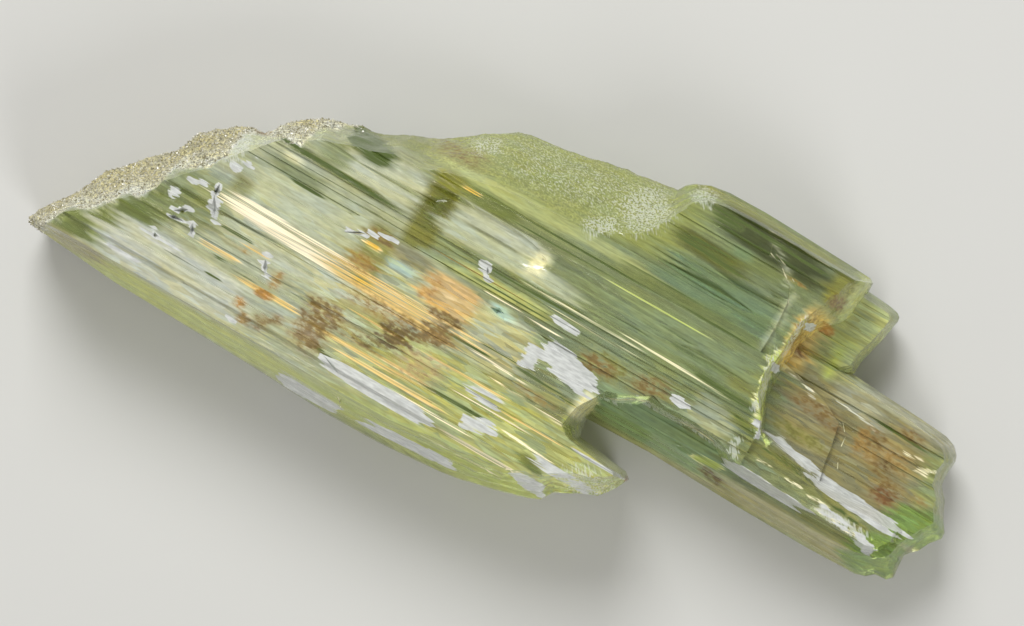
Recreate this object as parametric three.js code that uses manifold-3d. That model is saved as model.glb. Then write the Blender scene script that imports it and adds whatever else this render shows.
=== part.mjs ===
// A hiddenite crystal: a flattened blade of pale green spodumene, striated along its length, with an etched
// upper edge, a broken far end that steps down plate by plate, and a thicker front plate with a pointed end.
// Millimetres, +Z up. The blade lies on its broad back face: +X runs along the crystal's long axis, +Y across
// the blade, and the origin is the middle of the underside.
import * as THREE from "three";
import { mergeVertices } from "three/addons/utils/BufferGeometryUtils.js";
import Module from "manifold-3d";

const wasm = await Module();
wasm.setup();

// Driving dimensions
const BLADE_TOP = 7.2; // top of the main blade above the surface that it lies on
const FRONT_TOP = 8.0; // top of the thicker front plate
const BACK_TOP = 4.42; // top of the plate that reaches furthest at the broken end
const STEP_TOP = 3.3; // top of the small plate beside it
const STEP_FLOOR = 0.35; // the small plate's underside, which stands clear of the surface
const STRIATION_DEPTH = 0.22; // deepest lengthwise groove
const LEDGE = 0.07; // how far the lengthwise ledges stand out of the long side faces
const SEED = 7; // starts the row of numbers that places the grooves and treads

// Reach of the cutting shapes, past every side of the crystal
const LEFT = -25;
const RIGHT = 25;
const NEAR = -11;
const FAR = 11;
const CLEAR_ABOVE = 9.5;
const CLEAR_BELOW = -1.0;

// Repeatable numbers from 0 to 1
let state = SEED;
function random() {
  state = (state * 1664525 + 1013904223) % 4294967296;
  return state / 4294967296;
}
const between = (low, high) => low + (high - low) * random();
const mix = (a, b, t) => a + (b - a) * t;
const ease = (t) => t * t * (3 - 2 * t);

// A fixed number from -1 to 1 for each whole-number place, and a smooth field between those places
function latticeValue(i, j, k) {
  const s = Math.sin(i * 127.1 + j * 311.7 + k * 74.7) * 43758.5453;
  return 2 * (s - Math.floor(s)) - 1;
}
function smoothNoise(x, y, z) {
  const [i, j, k] = [x, y, z].map(Math.floor);
  const [u, v, w] = [x - i, y - j, z - k].map(ease);
  const row = (dj, dk) => mix(latticeValue(i, j + dj, k + dk), latticeValue(i + 1, j + dj, k + dk), u);
  return mix(mix(row(0, 0), row(1, 0), v), mix(row(0, 1), row(1, 1), v), w);
}

// Solids from three.js geometry, and back
function solid(geometry) {
  const bare = new THREE.BufferGeometry().setAttribute("position", geometry.getAttribute("position").clone());
  if (geometry.index) bare.setIndex(geometry.index.clone());
  const merged = mergeVertices(bare, 1e-4);
  const mesh = new wasm.Mesh({
    numProp: 3,
    vertProperties: merged.attributes.position.array,
    triVerts: new Uint32Array(merged.index.array),
  });
  return new wasm.Manifold(mesh);
}

function toGeometry(shape) {
  const { vertProperties, triVerts } = shape.getMesh();
  const geometry = new THREE.BufferGeometry();
  geometry.setAttribute("position", new THREE.BufferAttribute(vertProperties, 3));
  geometry.setIndex(new THREE.BufferAttribute(triVerts, 1));
  geometry.computeVertexNormals();
  return geometry;
}

const flatShape = (points) => new THREE.Shape(points.map(([a, b]) => new THREE.Vector2(a, b)));
const extruded = (points, depth) => new THREE.ExtrudeGeometry(flatShape(points), { depth, bevelEnabled: false });

// An outline drawn from above, raised between two heights
function planPrism(points, low, high) {
  return solid(extruded(points, high - low).translate(0, 0, low));
}

// A cross-section drawn across the blade, as [y, z] points, run along the long axis
function lengthwise(points, from, to) {
  const acrossUpAlong = new THREE.Matrix4().makeBasis(
    new THREE.Vector3(0, 1, 0),
    new THREE.Vector3(0, 0, 1),
    new THREE.Vector3(1, 0, 0),
  );
  return solid(extruded(points, to - from).applyMatrix4(acrossUpAlong.setPosition(from, 0, 0)));
}

// Rings of points, lowest first and all running anticlockwise from above, joined into one closed skin
function skin(rings) {
  const count = rings[0].length;
  const faces = [];
  for (let level = 0; level + 1 < rings.length; level++) {
    for (let i = 0; i < count; i++) {
      const a = level * count + i;
      const b = level * count + ((i + 1) % count);
      faces.push(a, b, b + count, a, b + count, a + count);
    }
  }
  const cap = (ring, start, facesUp) => {
    const outline = ring.map((p) => new THREE.Vector2(p.x, p.y));
    const triangles = THREE.ShapeUtils.triangulateShape(outline, []);
    const area = triangles.reduce((sum, t) => sum + THREE.ShapeUtils.area(t.map((i) => outline[i])), 0);
    for (const [a, b, c] of triangles) {
      faces.push(start + a, ...(area > 0 === facesUp ? [start + b, start + c] : [start + c, start + b]));
    }
  };
  cap(rings[0], 0, false);
  cap(rings.at(-1), (rings.length - 1) * count, true);
  const geometry = new THREE.BufferGeometry().setFromPoints(rings.flat());
  geometry.setIndex(faces);
  return solid(geometry);
}

// A plate's wall is a row of stretches. Each line holds [x, y] of the outermost edge and [x, y] of the shoulder
// where the wall meets the top. edge and shoulder are their heights, curve bends the wall between them (1 is
// flat, more is rounder), lump is how far etching or breakage roughens it, ledge is how far its lengthwise
// ledges stand out, and step is the spacing of its points.
const PITCH_FINE = 0.55;
const PITCH_COARSE = 6;

function stations(stretch) {
  const { line, edge, shoulder, curve = 1, lump = 0, ledge = 0, step = PITCH_COARSE } = stretch;
  const made = [];
  for (let n = 0; n + 1 < line.length; n++) {
    const length = Math.hypot(line[n + 1][0] - line[n][0], line[n + 1][1] - line[n][1]);
    const parts = Math.max(1, Math.round(length / step));
    for (let k = 0; k < parts; k++) {
      const [ex, ey, sx, sy] = line[n].map((value, axis) => mix(value, line[n + 1][axis], k / parts));
      made.push({ ex, ey, sx, sy, edge, shoulder, curve, lump, ledge });
    }
  }
  return made;
}

// Rings between the edge and the shoulder: how far up each is, and how far in its ledge stands
const WALL_RINGS = [
  { up: 0, inward: 0 }, { up: 0.1, inward: -1 }, { up: 0.15, inward: 0.8 }, { up: 0.36, inward: -0.6 },
  { up: 0.41, inward: 1 }, { up: 0.62, inward: -0.8 }, { up: 0.67, inward: 0.6 }, { up: 0.87, inward: -0.7 },
  { up: 1, inward: 0 },
];
const FOOT = { share: 0.55, most: 0.9 }; // the underside takes this much of the wall's slope, up to that width
const FOOT_BEND = { up: 0.55, share: 0.35 }; // where the wall turns in towards the foot
const LUMP_SIZE = 0.75;
const FINE_LUMP_SIZE = 0.33;
const FINE_LUMP_SHARE = 0.55;

function lumpAt(x, y, z) {
  const fine = smoothNoise(x / FINE_LUMP_SIZE, y / FINE_LUMP_SIZE, z / FINE_LUMP_SIZE);
  return smoothNoise(x / LUMP_SIZE, y / LUMP_SIZE, z / LUMP_SIZE) + FINE_LUMP_SHARE * fine;
}

function plate(stretches, floor = 0) {
  const around = stretches.flatMap(stations);
  const place = (s, share, z, inward = 0) => {
    const reach = Math.hypot(s.sx - s.ex, s.sy - s.ey);
    const rough = s.lump * lumpAt(s.ex, s.ey, z) + s.ledge * inward;
    const t = share + rough / reach;
    return new THREE.Vector3(mix(s.ex, s.sx, t), mix(s.ey, s.sy, t), z);
  };
  const footShare = (s) => Math.min(FOOT.share, FOOT.most / Math.hypot(s.sx - s.ex, s.sy - s.ey));
  const wallRing = ({ up, inward }) =>
    around.map((s) => place(s, up ** s.curve, mix(s.edge, s.shoulder, up), inward));
  const rings = [
    around.map((s) => place(s, footShare(s), floor)),
    around.map((s) => place(s, footShare(s) * FOOT_BEND.share, mix(floor, s.edge, FOOT_BEND.up))),
    ...WALL_RINGS.map(wallRing),
    around.map((s) => place({ ...s, lump: 0 }, 1, CLEAR_ABOVE)),
  ];
  return skin(rings);
}

// The main blade's wall, anticlockwise from the pointed left end
const MAIN_WALL = [
  {
    // long lower edge: a flat bevel with lengthwise ledges
    edge: 2.7, shoulder: 7.0, ledge: LEDGE,
    line: [
      [-23.5, -8.95, -22.5, -8.45], [-22.6, -9.05, -21.8, -8.4], [-18.5, -9.4, -18.2, -8.35],
      [-10, -9.62, -10, -8.35], [-6, -9.8, -6, -8.4], [-3, -9.75, -3, -8.35], [0, -9.5, -0.2, -8.0],
    ],
  },
  {
    // ragged taper towards the front plate's point
    edge: 3.4, shoulder: 7.3, lump: 0.09, ledge: LEDGE, step: PITCH_FINE,
    line: [
      [0, -9.5, -0.2, -8.0], [2, -9.2, 1.6, -7.8], [3.5, -8.8, 3.0, -7.6], [4.8, -8.4, 4.1, -7.2],
      [5.4, -8.1, 4.7, -7.0], [5.9, -7.45, 5.2, -6.6], [6.5, -7.2, 5.8, -6.3], [7.2, -6.75, 6.4, -6.0],
      [7.8, -6.55, 7.0, -5.8], [8.4, -5.8, 7.5, -5.5], [8.8, -5.05, 7.8, -5.25],
    ],
  },
  {
    // steep side of the point, then the bright broken facet that closes the front plate
    edge: 3.2, shoulder: 7.9, lump: 0.04, step: 1.2,
    line: [
      [8.8, -5.05, 7.8, -5.25], [8.45, -4.78, 7.7, -5.1], [7.9, -4.72, 7.0, -5.0], [5.6, -4.42, 5.0, -4.75],
      [5.48, -3.9, 4.35, -4.35], [5.45, -3.2, 4.6, -3.2], [5.55, -2.4, 4.95, -2.15],
    ],
  },
  {
    // broken ledge above the lower band
    edge: 4.1, shoulder: 6.7, lump: 0.07, step: PITCH_FINE,
    line: [
      [5.7, -2.15, 5.5, -1.75], [6.2, -2.1, 6.1, -1.6], [7.1, -1.75, 7.0, -1.25], [7.6, -1.35, 7.6, -0.85],
      [8.4, -1.5, 8.4, -1.0], [10, -1.35, 10, -0.9], [11.1, -1.35, 11.1, -0.95], [11.8, -1.7, 11.9, -1.25],
      [12.5, -2.15, 12.8, -1.65],
    ],
  },
  {
    // narrow tongue: lower facet, tip, then the wide pale facet back to the broken end
    edge: 4.1, shoulder: 6.5,
    line: [
      [12.5, -2.15, 12.8, -1.65], [17, -2.3, 17, -1.7], [20.6, -2.3, 20.3, -1.75], [21.3, -2.0, 20.8, -1.6],
      [21.9, -1.1, 21.0, -1.3], [21.9, -0.35, 20.8, -1.15], [20.5, -0.1, 19.4, -1.12], [19, -0.2, 18.2, -1.05],
      [17, -0.25, 16.8, -0.93], [16, 0.2, 15.4, -0.65], [14.2, 0.45, 13.7, -0.3], [13.5, 0.45, 12.95, 0.1],
    ],
  },
  {
    // ragged broken end of the main plate
    edge: 4.0, shoulder: 7.1, lump: 0.1, step: PITCH_FINE, curve: 1.2,
    line: [
      [13.5, 0.45, 12.95, 0.1], [13.2, 0.9, 12.65, 0.9], [12.85, 1.9, 12.0, 1.9], [12.7, 3.0, 11.75, 2.8],
      [12.65, 4.0, 11.8, 3.8], [12.75, 5.0, 11.85, 4.8], [13.1, 6.0, 11.85, 5.8], [13.7, 6.7, 12.1, 6.6],
      [14.15, 7.3, 12.35, 7.3], [14.3, 8.2, 12.5, 8.1], [14.45, 9.1, 12.7, 8.75], [14.42, 9.5, 13.2, 9.0],
      [14.2, 9.68, 13.4, 9.08],
    ],
  },
  {
    // upper long edge at the broken end: a flat bevel with lengthwise ledges
    edge: 3.0, shoulder: 6.5, ledge: LEDGE,
    line: [
      [14.2, 9.68, 13.4, 9.08], [11, 9.8, 11, 9.1], [8, 9.9, 8, 9.1], [6, 9.87, 6.1, 9.0],
      [5, 9.72, 5.2, 8.75], [4.3, 9.42, 4.6, 8.3], [3.88, 9.1, 4.2, 7.6], [3.66, 8.75, 3.8, 6.8],
    ],
  },
  {
    // wide etched slope above the middle
    edge: 2.5, shoulder: 6.95, lump: 0.11, step: PITCH_FINE, curve: 1.25,
    line: [
      [3.66, 8.75, 3.8, 6.8], [3, 8.62, 3.2, 5.8], [1, 8.3, 1.4, 4.8], [0, 8.15, 0, 4.6], [-1, 7.9, -1.2, 4.5],
      [-2.2, 7.66, -2.6, 4.4], [-4, 7.4, -4.2, 4.3], [-4.7, 7.18, -5.0, 4.1], [-5.4, 6.75, -5.8, 3.8],
      [-6.1, 6.3, -6.6, 3.6], [-6.9, 5.65, -7.2, 3.4], [-8, 4.88, -8.1, 3.2], [-9.1, 4.55, -9.4, 3.05],
    ],
  },
  {
    // etched humps of the upper left edge
    edge: 2.6, shoulder: 7.1, lump: 0.13, step: PITCH_FINE, curve: 1.15,
    line: [
      [-9.1, 4.55, -9.4, 3.05], [-9.6, 4.22, -9.9, 2.85], [-10.5, 3.77, -10.6, 2.6], [-11.6, 3.6, -11.5, 2.4],
      [-12.15, 3.3, -12.2, 2.1], [-13, 3.1, -12.9, 1.9], [-13.8, 2.7, -13.4, 1.6], [-14.6, 2.1, -13.9, 1.3],
      [-15.1, 1.5, -14.4, 0.95], [-15.4, 1.05, -14.8, 0.65], [-15.8, 0.83, -15.2, 0.2],
      [-16.5, 0.74, -15.7, -0.3], [-17.1, 0.42, -16.1, -0.8], [-17.9, -0.15, -16.5, -1.4],
      [-18.5, -0.8, -16.9, -2.0], [-18.8, -1.7, -17.4, -2.5],
    ],
  },
  {
    // sugary etched face down to the pointed end
    edge: 2.6, shoulder: 7.2, lump: 0.12, step: PITCH_FINE,
    line: [
      [-18.8, -1.7, -17.4, -2.5], [-19.15, -2.25, -17.9, -3.0], [-20, -3.0, -18.5, -3.7],
      [-20.8, -3.9, -18.8, -4.5], [-21.6, -4.8, -19.5, -5.15], [-21.85, -5.5, -20.2, -5.8],
      [-22.2, -6.2, -20.6, -6.5], [-22.65, -6.9, -21.4, -7.0], [-23.05, -7.55, -22.0, -7.5],
      [-23.4, -8.1, -22.3, -8.0], [-23.8, -8.72, -22.5, -8.35], [-23.5, -8.95, -22.5, -8.45],
    ],
  },
];

// The plate behind, which reaches furthest at the broken end
const BACK_WALL = [
  {
    // lower long edge: a flat bevel with lengthwise ledges
    edge: 2.1, shoulder: 4.4, ledge: LEDGE,
    line: [
      [-4, -3.2, -3, -2.4], [5.5, -3.5, 5.5, -2.5], [9, -3.4, 9, -2.45], [14, -3.55, 14, -2.6],
      [18, -3.6, 18, -2.65], [20.9, -3.52, 20.2, -2.5],
    ],
  },
  {
    // scalloped, etched end
    edge: 2.0, shoulder: 4.3, lump: 0.08, step: PITCH_FINE, curve: 1.3,
    line: [
      [20.9, -3.52, 20.2, -2.5], [21.5, -3.38, 20.7, -2.4], [21.9, -3.06, 21.1, -2.3], [22.5, -3.0, 21.5, -2.2],
      [22.8, -2.75, 21.7, -2.0], [22.7, -2.2, 21.8, -1.7], [22.7, -1.5, 21.9, -1.2], [22.9, -1.18, 22.1, -0.8],
      [23.2, -0.95, 22.3, -0.4], [23.45, -0.3, 22.5, 0.0], [23.9, 0.2, 22.8, 0.4], [23.93, 0.5, 22.9, 0.7],
      [23.5, 1.15, 22.7, 1.1], [23.1, 1.9, 22.4, 1.7], [22.6, 2.5, 21.9, 2.3], [22.5, 3.2, 21.7, 3.0],
      [22.6, 3.9, 21.8, 3.5], [22.5, 4.2, 21.6, 3.8], [22.1, 4.55, 21.3, 4.0], [21.5, 4.76, 20.9, 4.2],
    ],
  },
  {
    // upper long edge, then the side that lies inside the main blade
    edge: 2.0, shoulder: 4.1, ledge: LEDGE,
    line: [
      [21.5, 4.76, 20.9, 4.2], [20, 4.87, 19.6, 4.4], [18, 4.96, 18, 4.5], [14, 5.2, 14, 4.7],
      [9, 5.3, 9, 4.8], [-4, 5.2, -3, 4.4], [-4, -3.2, -3, -2.4],
    ],
  },
];

// The small plate whose corner stands out beside the main blade's broken end
const STEP_WALL = [
  {
    edge: 1.9, shoulder: 3.2, lump: 0.03, step: 1.1,
    line: [
      [9, 4.2, 9.6, 4.8], [15.5, 4.6, 15.0, 5.0], [15.95, 5.2, 15.5, 5.4], [15.95, 5.75, 15.5, 5.8],
      [16.07, 6.3, 15.6, 6.3], [16.3, 7.2, 15.85, 7.2], [16.5, 8.2, 16.0, 8.1], [16.57, 8.5, 16.05, 8.35],
      [16.5, 8.76, 15.95, 8.5], [16.3, 8.9, 15.8, 8.6], [15.8, 9.0, 15.5, 8.65], [14.4, 9.1, 14.2, 8.7],
      [9, 9.2, 9.6, 8.6], [9, 4.2, 9.6, 4.8],
    ],
  },
];

// How far the plates' tops fall below their highest line, as [y, fall] across the blade
const MAIN_FALL = [
  [NEAR, 0.3], [-1.4, 0.25], [0.7, 0.2], [0.75, 0.08], [2.95, 0], [3.1, 0.15], [3.6, 0.08], [3.66, 0.22],
  [4.3, 0.25], [6.2, 0.35], [7.2, 0.5], [8.0, 0.58], [8.1, 0.9], [8.95, 0.95], [9.1, 0.75], [FAR, 1.0],
];
const FRONT_FALL = [
  [NEAR, 1.0], [-8.35, 0.75], [-7.6, 0.6], [-7.45, 0.38], [-6.2, 0.3], [-6.1, 0.42], [-4.6, 0.2],
  [-4.5, 0.32], [-3.1, 0.08], [-2.2, 0], [-2.1, 0.12], [-0.9, 0.04], [-0.3, 0.1],
];
const BACK_FALL = [
  [-5, 0.12], [-2.6, 0], [0, 0.07], [1.6, 0.12], [1.7, 0.22], [3.4, 0.27], [4.0, 0.42], [6, 0.52],
];
const STEP_FALL = [[3, 0], [FAR, 0.15]];

// Each top is broken into small lengthwise treads
const TREAD = { width: [0.28, 0.8], rise: [0.015, 0.06], riser: 0.03 };

function treads(knots) {
  const points = [];
  for (let n = 0; n + 1 < knots.length; n++) {
    const [[y0, z0], [y1, z1]] = [knots[n], knots[n + 1]];
    points.push([y0, z0]);
    for (let y = y0 + between(...TREAD.width); y < y1 - TREAD.width[0]; y += between(...TREAD.width)) {
      const z = mix(z0, z1, (y - y0) / (y1 - y0));
      const rise = between(...TREAD.rise) * (random() < 0.5 ? -1 : 1);
      points.push([y, z + rise], [y + TREAD.riser, z - rise]);
    }
  }
  return [...points, knots.at(-1)];
}

function slab(top, falls) {
  const line = treads(falls.map(([y, fall]) => [y, top - fall]));
  return lengthwise([[line[0][0], CLEAR_BELOW], [line.at(-1)[0], CLEAR_BELOW], ...line.reverse()], LEFT, RIGHT);
}

// Where the thicker front plate lies, seen from above, and how deep it is rooted in the blade
const FRONT_PLAN = [
  [LEFT, NEAR], [9.5, NEAR], [9.5, -4.4], [5.0, -4.4], [5.2, -2.05], [4.3, -1.75], [2.6, -1.25],
  [0.3, -0.85], [0.1, -0.62], [-4.2, -0.55], [-4.4, -0.4], [-9.3, -0.35], [-9.6, -0.55], [-14.2, -0.5],
  [-15.2, -0.9], [LEFT, -0.9],
];
const FRONT_ROOT = 5;

// A long sliver, pointed at both ends: taken away, it leaves a groove with its keel at the bottom
const KEEL_SHIFT = 0.25; // how far along and to the side of its middle the keel may lie
const KEEL_LEAN = 0.35;

function sliver(x, y, z, length, width, depth) {
  const half = length / 2;
  const middle = x + between(-KEEL_SHIFT, KEEL_SHIFT) * length;
  const lean = between(-KEEL_LEAN, KEEL_LEAN) * width;
  const corners = [
    [x - half, y, z], [x + half, y, z], [middle, y - width / 2, z], [middle, y + width / 2, z],
    [middle, y + lean, z - depth],
  ].map((p) => new THREE.Vector3(...p));
  const faces = [0, 2, 4, 0, 4, 3, 1, 4, 2, 1, 3, 4, 0, 3, 2, 1, 2, 3];
  if (depth > 0) faces.reverse();
  const geometry = new THREE.BufferGeometry().setFromPoints(corners);
  geometry.setIndex(faces);
  return solid(geometry);
}

// Rows of grooves: where they lie, how many there are, and the height of the surface that they cut
const GROOVE_FIELDS = [
  { x: [-19, 4], y: [-8.1, -0.9], count: 46, top: FRONT_TOP - 0.25, length: [3, 11] },
  { x: [-13, 11], y: [-0.1, 4.2], count: 30, top: BLADE_TOP - 0.08, length: [4, 13] },
  { x: [4, 12.5], y: [4.2, 8.9], count: 16, top: BLADE_TOP - 0.42, length: [3, 8] },
  { x: [6, 19], y: [-1.1, 0.0], count: 8, top: BLADE_TOP - 0.6, length: [3, 8] },
  { x: [6, 21], y: [-2.6, -2.2], count: 3, top: BACK_TOP, length: [3, 9] },
  { x: [13, 21], y: [0.6, 4.2], count: 12, top: BACK_TOP - 0.18, length: [2, 6] },
];
const UNDERSIDE_GROOVES = { x: [-19, 19], y: [-7.2, 3.2], count: 34, length: [4, 14] };
const GROOVE_LIFT = 0.12; // the sliver's flat side stands this far off the surface
const GROOVE_WIDTH = [0.3, 0.75];
const GROOVE_SHARE = [0.25, 1]; // the shallowest and deepest groove, as shares of the deepest striation

function grooves() {
  const made = [];
  const deep = () => GROOVE_LIFT + between(...GROOVE_SHARE) * STRIATION_DEPTH;
  for (const { x, y, count, top, length } of GROOVE_FIELDS) {
    for (let n = 0; n < count; n++) {
      const depth = deep();
      const z = top + GROOVE_LIFT;
      made.push(sliver(between(...x), between(...y), z, between(...length), between(...GROOVE_WIDTH), depth));
    }
  }
  const { x, y, count, length } = UNDERSIDE_GROOVES;
  for (let n = 0; n < count; n++) {
    const depth = -deep();
    const z = -GROOVE_LIFT;
    made.push(sliver(between(...x), between(...y), z, between(...length), between(...GROOVE_WIDTH), depth));
  }
  return made;
}

// Etch pits: small slanted notches, each with its place, how far it starts below the front plate's top, its
// length, width and depth, and its turn in degrees
const PITS = [
  { at: [-15.4, -0.95], fall: 0.7, size: [1.5, 0.45, 0.5], turn: 52 },
  { at: [-17.0, -2.9], fall: 0.7, size: [0.8, 0.4, 0.5], turn: 20 },
  { at: [-16.0, -2.75], fall: 0.1, size: [0.7, 0.4, 0.45], turn: 100 },
  { at: [-15.75, -3.6], fall: 0.1, size: [1.5, 0.5, 0.5], turn: 118 },
  { at: [-17.75, -3.8], fall: 0.4, size: [0.9, 0.4, 0.5], turn: 70 },
  { at: [-17.1, -4.5], fall: 0.2, size: [1.0, 0.5, 0.5], turn: 35 },
  { at: [-17.0, -5.0], fall: 0.2, size: [1.2, 0.35, 0.45], turn: 8 },
  { at: [-16.15, -5.1], fall: 0.2, size: [0.9, 0.4, 0.45], turn: 115 },
  { at: [-12.1, -4.8], fall: 0.1, size: [1.3, 0.5, 0.45], turn: 120 },
  { at: [-17.6, -6.1], fall: 0.2, size: [0.7, 0.35, 0.4], turn: 130 },
  { at: [-2.55, 0.45], fall: 0.8, size: [1.2, 0.4, 0.4], turn: 118 },
  { at: [-9.2, -1.3], fall: 0, size: [1.7, 0.3, 0.4], turn: 24 },
  { at: [-1.2, -1.05], fall: 0, size: [1.2, 0.5, 0.4], turn: 4 },
  { at: [-6.9, -7.4], fall: 0.3, size: [2.2, 0.35, 0.4], turn: -20 },
  { at: [-5.7, -8.7], fall: 0.8, size: [1.1, 0.4, 0.5], turn: -50 },
];

function pit({ at: [x, y], fall, size: [length, width, depth], turn }) {
  const notch = sliver(0, 0, 0, length, width, depth + GROOVE_LIFT);
  return notch.rotate([0, 0, turn]).translate([x, y, FRONT_TOP - fall + GROOVE_LIFT]);
}

// A shallow, lens-shaped hollow in the main blade's face
const LENS = { x: -3.3, y: 2.05, below: 0.03, halfLength: 3.2, halfWidth: 0.85, depth: 0.3 };

function lensHollow() {
  const ball = new THREE.SphereGeometry(1, 28, 14).scale(LENS.halfLength, LENS.halfWidth, LENS.depth);
  return solid(ball.translate(LENS.x, LENS.y, BLADE_TOP - LENS.below));
}

// Thin layers that break off in steps: one missing near the broken end, one left on the plate behind
const END_LAYER = [
  [8.95, 9.6], [9.05, 8.25], [9.9, 7.85], [10.7, 7.25], [11.05, 6.5], [11.15, 5.2], [11.1, 3.7], [14.6, 3.4],
  [14.8, 9.9],
];
const END_LAYER_DEPTH = 0.56;
const BACK_LAYER = [
  [12.0, -1.0], [17.1, -1.0], [16.75, 0.5], [16.6, 1.5], [16.35, 2.6], [15.1, 3.25], [12.0, 3.95],
];
const BACK_LAYER_ROOT = 3;
const BACK_LAYER_RISE = 0.18;

// The tongue's top falls away towards its tip
const TONGUE = { from: 13, to: 21.4, fallFrom: 0.65, fallTo: 1.95, farSide: 0.35, width: 4.35, past: 3 };

function aboveTongue() {
  const { from, to, fallFrom, fallTo, farSide, width, past } = TONGUE;
  const profile = [
    [from, BLADE_TOP - fallFrom], [to, BLADE_TOP - fallTo], [to + past, BLADE_TOP - fallTo],
    [to + past, CLEAR_ABOVE], [from, CLEAR_ABOVE],
  ];
  return solid(extruded(profile, width).rotateX(Math.PI / 2).translate(0, farSide, 0));
}

function crystal() {
  const mainWall = plate(MAIN_WALL);
  const front = slab(FRONT_TOP, FRONT_FALL).intersect(planPrism(FRONT_PLAN, FRONT_ROOT, CLEAR_ABOVE));
  const missingLayer = planPrism(END_LAYER, BLADE_TOP - END_LAYER_DEPTH, CLEAR_ABOVE);
  const main = mainWall
    .intersect(slab(BLADE_TOP, MAIN_FALL).add(front))
    .subtract(missingLayer)
    .subtract(aboveTongue());
  const leftLayer = planPrism(BACK_LAYER, BACK_LAYER_ROOT, BACK_TOP + BACK_LAYER_RISE);
  const back = plate(BACK_WALL).intersect(slab(BACK_TOP, BACK_FALL).add(leftLayer));
  const step = plate(STEP_WALL, STEP_FLOOR).intersect(slab(STEP_TOP, STEP_FALL));
  const whole = wasm.Manifold.union([main, back, step]);
  const cuts = wasm.Manifold.union([...grooves(), ...PITS.map(pit), lensHollow()]);
  // a crumb that the grooves cut free is left out
  return whole.subtract(cuts).decompose().reduce((a, b) => (a.volume() > b.volume() ? a : b));
}

const shape = crystal();
const { min, max } = shape.boundingBox();
const mesh = new THREE.Mesh(
  toGeometry(shape),
  new THREE.MeshStandardMaterial({
    color: 0xb4bf86, roughness: 0.08, metalness: 0, transparent: true, opacity: 0.6,
  }),
);
mesh.name = "crystal";
mesh.position.set(-(min[0] + max[0]) / 2, -(min[1] + max[1]) / 2, -min[2]);

const hiddenite = new THREE.Group();
hiddenite.add(mesh);

export default hiddenite;
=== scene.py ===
"""Dresses a hiddenite crystal: a clear, pale green, striated blade with etched faces and rusty inclusions.

The solid from the frame gives the form. Its faces are cut into fine strips, which carry the striations,
the etch grain and a figure of soft colour patches (a few of them painted glints and painted light),
cloudy places, gold streaks with painted glints, iron stains, painted shade lines, painted light and
shade of small facets, and painted reflections on bright facets. Thin pieces inside it make what shows
through: iron films and flakes, pale veils under the painted reflections, growth tubes, golden streaks
and cracks.
"""

import math
import random

import bmesh
import bpy
import numpy
from bpy.props import FloatProperty, FloatVectorProperty, IntProperty, PointerProperty
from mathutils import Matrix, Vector, noise
from mathutils.bvhtree import BVHTree


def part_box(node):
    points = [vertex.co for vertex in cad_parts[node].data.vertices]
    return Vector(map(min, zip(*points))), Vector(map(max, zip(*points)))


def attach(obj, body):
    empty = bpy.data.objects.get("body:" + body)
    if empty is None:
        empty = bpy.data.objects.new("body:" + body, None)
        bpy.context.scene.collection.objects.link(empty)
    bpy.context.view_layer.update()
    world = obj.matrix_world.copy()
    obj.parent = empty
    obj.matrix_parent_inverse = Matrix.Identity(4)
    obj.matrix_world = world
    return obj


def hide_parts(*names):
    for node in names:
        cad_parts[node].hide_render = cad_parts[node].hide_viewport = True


bl_info = {
    "name": "Hiddenite Crystal",
    "version": (1, 0, 0),
    "blender": (4, 5, 0),
    "location": "View3D > Sidebar > Crystal",
    "description": "Builds a hiddenite crystal with its etched faces, inclusions and studio",
    "category": "Add Mesh",
}

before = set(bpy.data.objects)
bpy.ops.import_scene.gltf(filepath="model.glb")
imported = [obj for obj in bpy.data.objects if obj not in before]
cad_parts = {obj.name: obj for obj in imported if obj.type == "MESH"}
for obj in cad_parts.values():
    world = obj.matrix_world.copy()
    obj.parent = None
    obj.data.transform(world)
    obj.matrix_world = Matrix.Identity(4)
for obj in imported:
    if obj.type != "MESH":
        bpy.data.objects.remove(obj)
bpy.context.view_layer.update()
NODE = "crystal"
BODY = "root"
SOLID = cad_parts[NODE].data
LOW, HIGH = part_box(NODE)
MM = 0.001

# The drawing that the places below were read from has its zero this far from the frame's, in millimetres
DRAWN_ZERO = (-0.042, -0.05)


def place(x, y, z=0.0):
    """A point of the drawing, in millimetres, as a point of the frame, in metres."""
    return Vector(((x + DRAWN_ZERO[0]) * MM, (y + DRAWN_ZERO[1]) * MM, z * MM))


def drawn(points):
    """Points of the frame as lists of x, y and z of the drawing."""
    x, y, z = numpy.array([p[:] for p in points]).reshape(-1, 3).T / MM
    return x - DRAWN_ZERO[0], y - DRAWN_ZERO[1], z


def smooth(low, high, value):
    """0 below low, 1 above high, and a smooth rise between them."""
    t = numpy.clip((value - low) / (high - low), 0.0, 1.0)
    return t * t * (3 - 2 * t)


def noises(x, y, z):
    """Noise at each place, about -1 to 1."""
    return numpy.array([noise.noise(p) for p in zip(x, y, z)])


def linear(red, green, blue):
    """A colour as it looks on a screen, 0 to 255, as the linear values that shaders take."""
    parts = (red / 255, green / 255, blue / 255)
    return tuple(((c + 0.055) / 1.055) ** 2.4 if c > 0.04 else c / 12.92 for c in parts)


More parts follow.
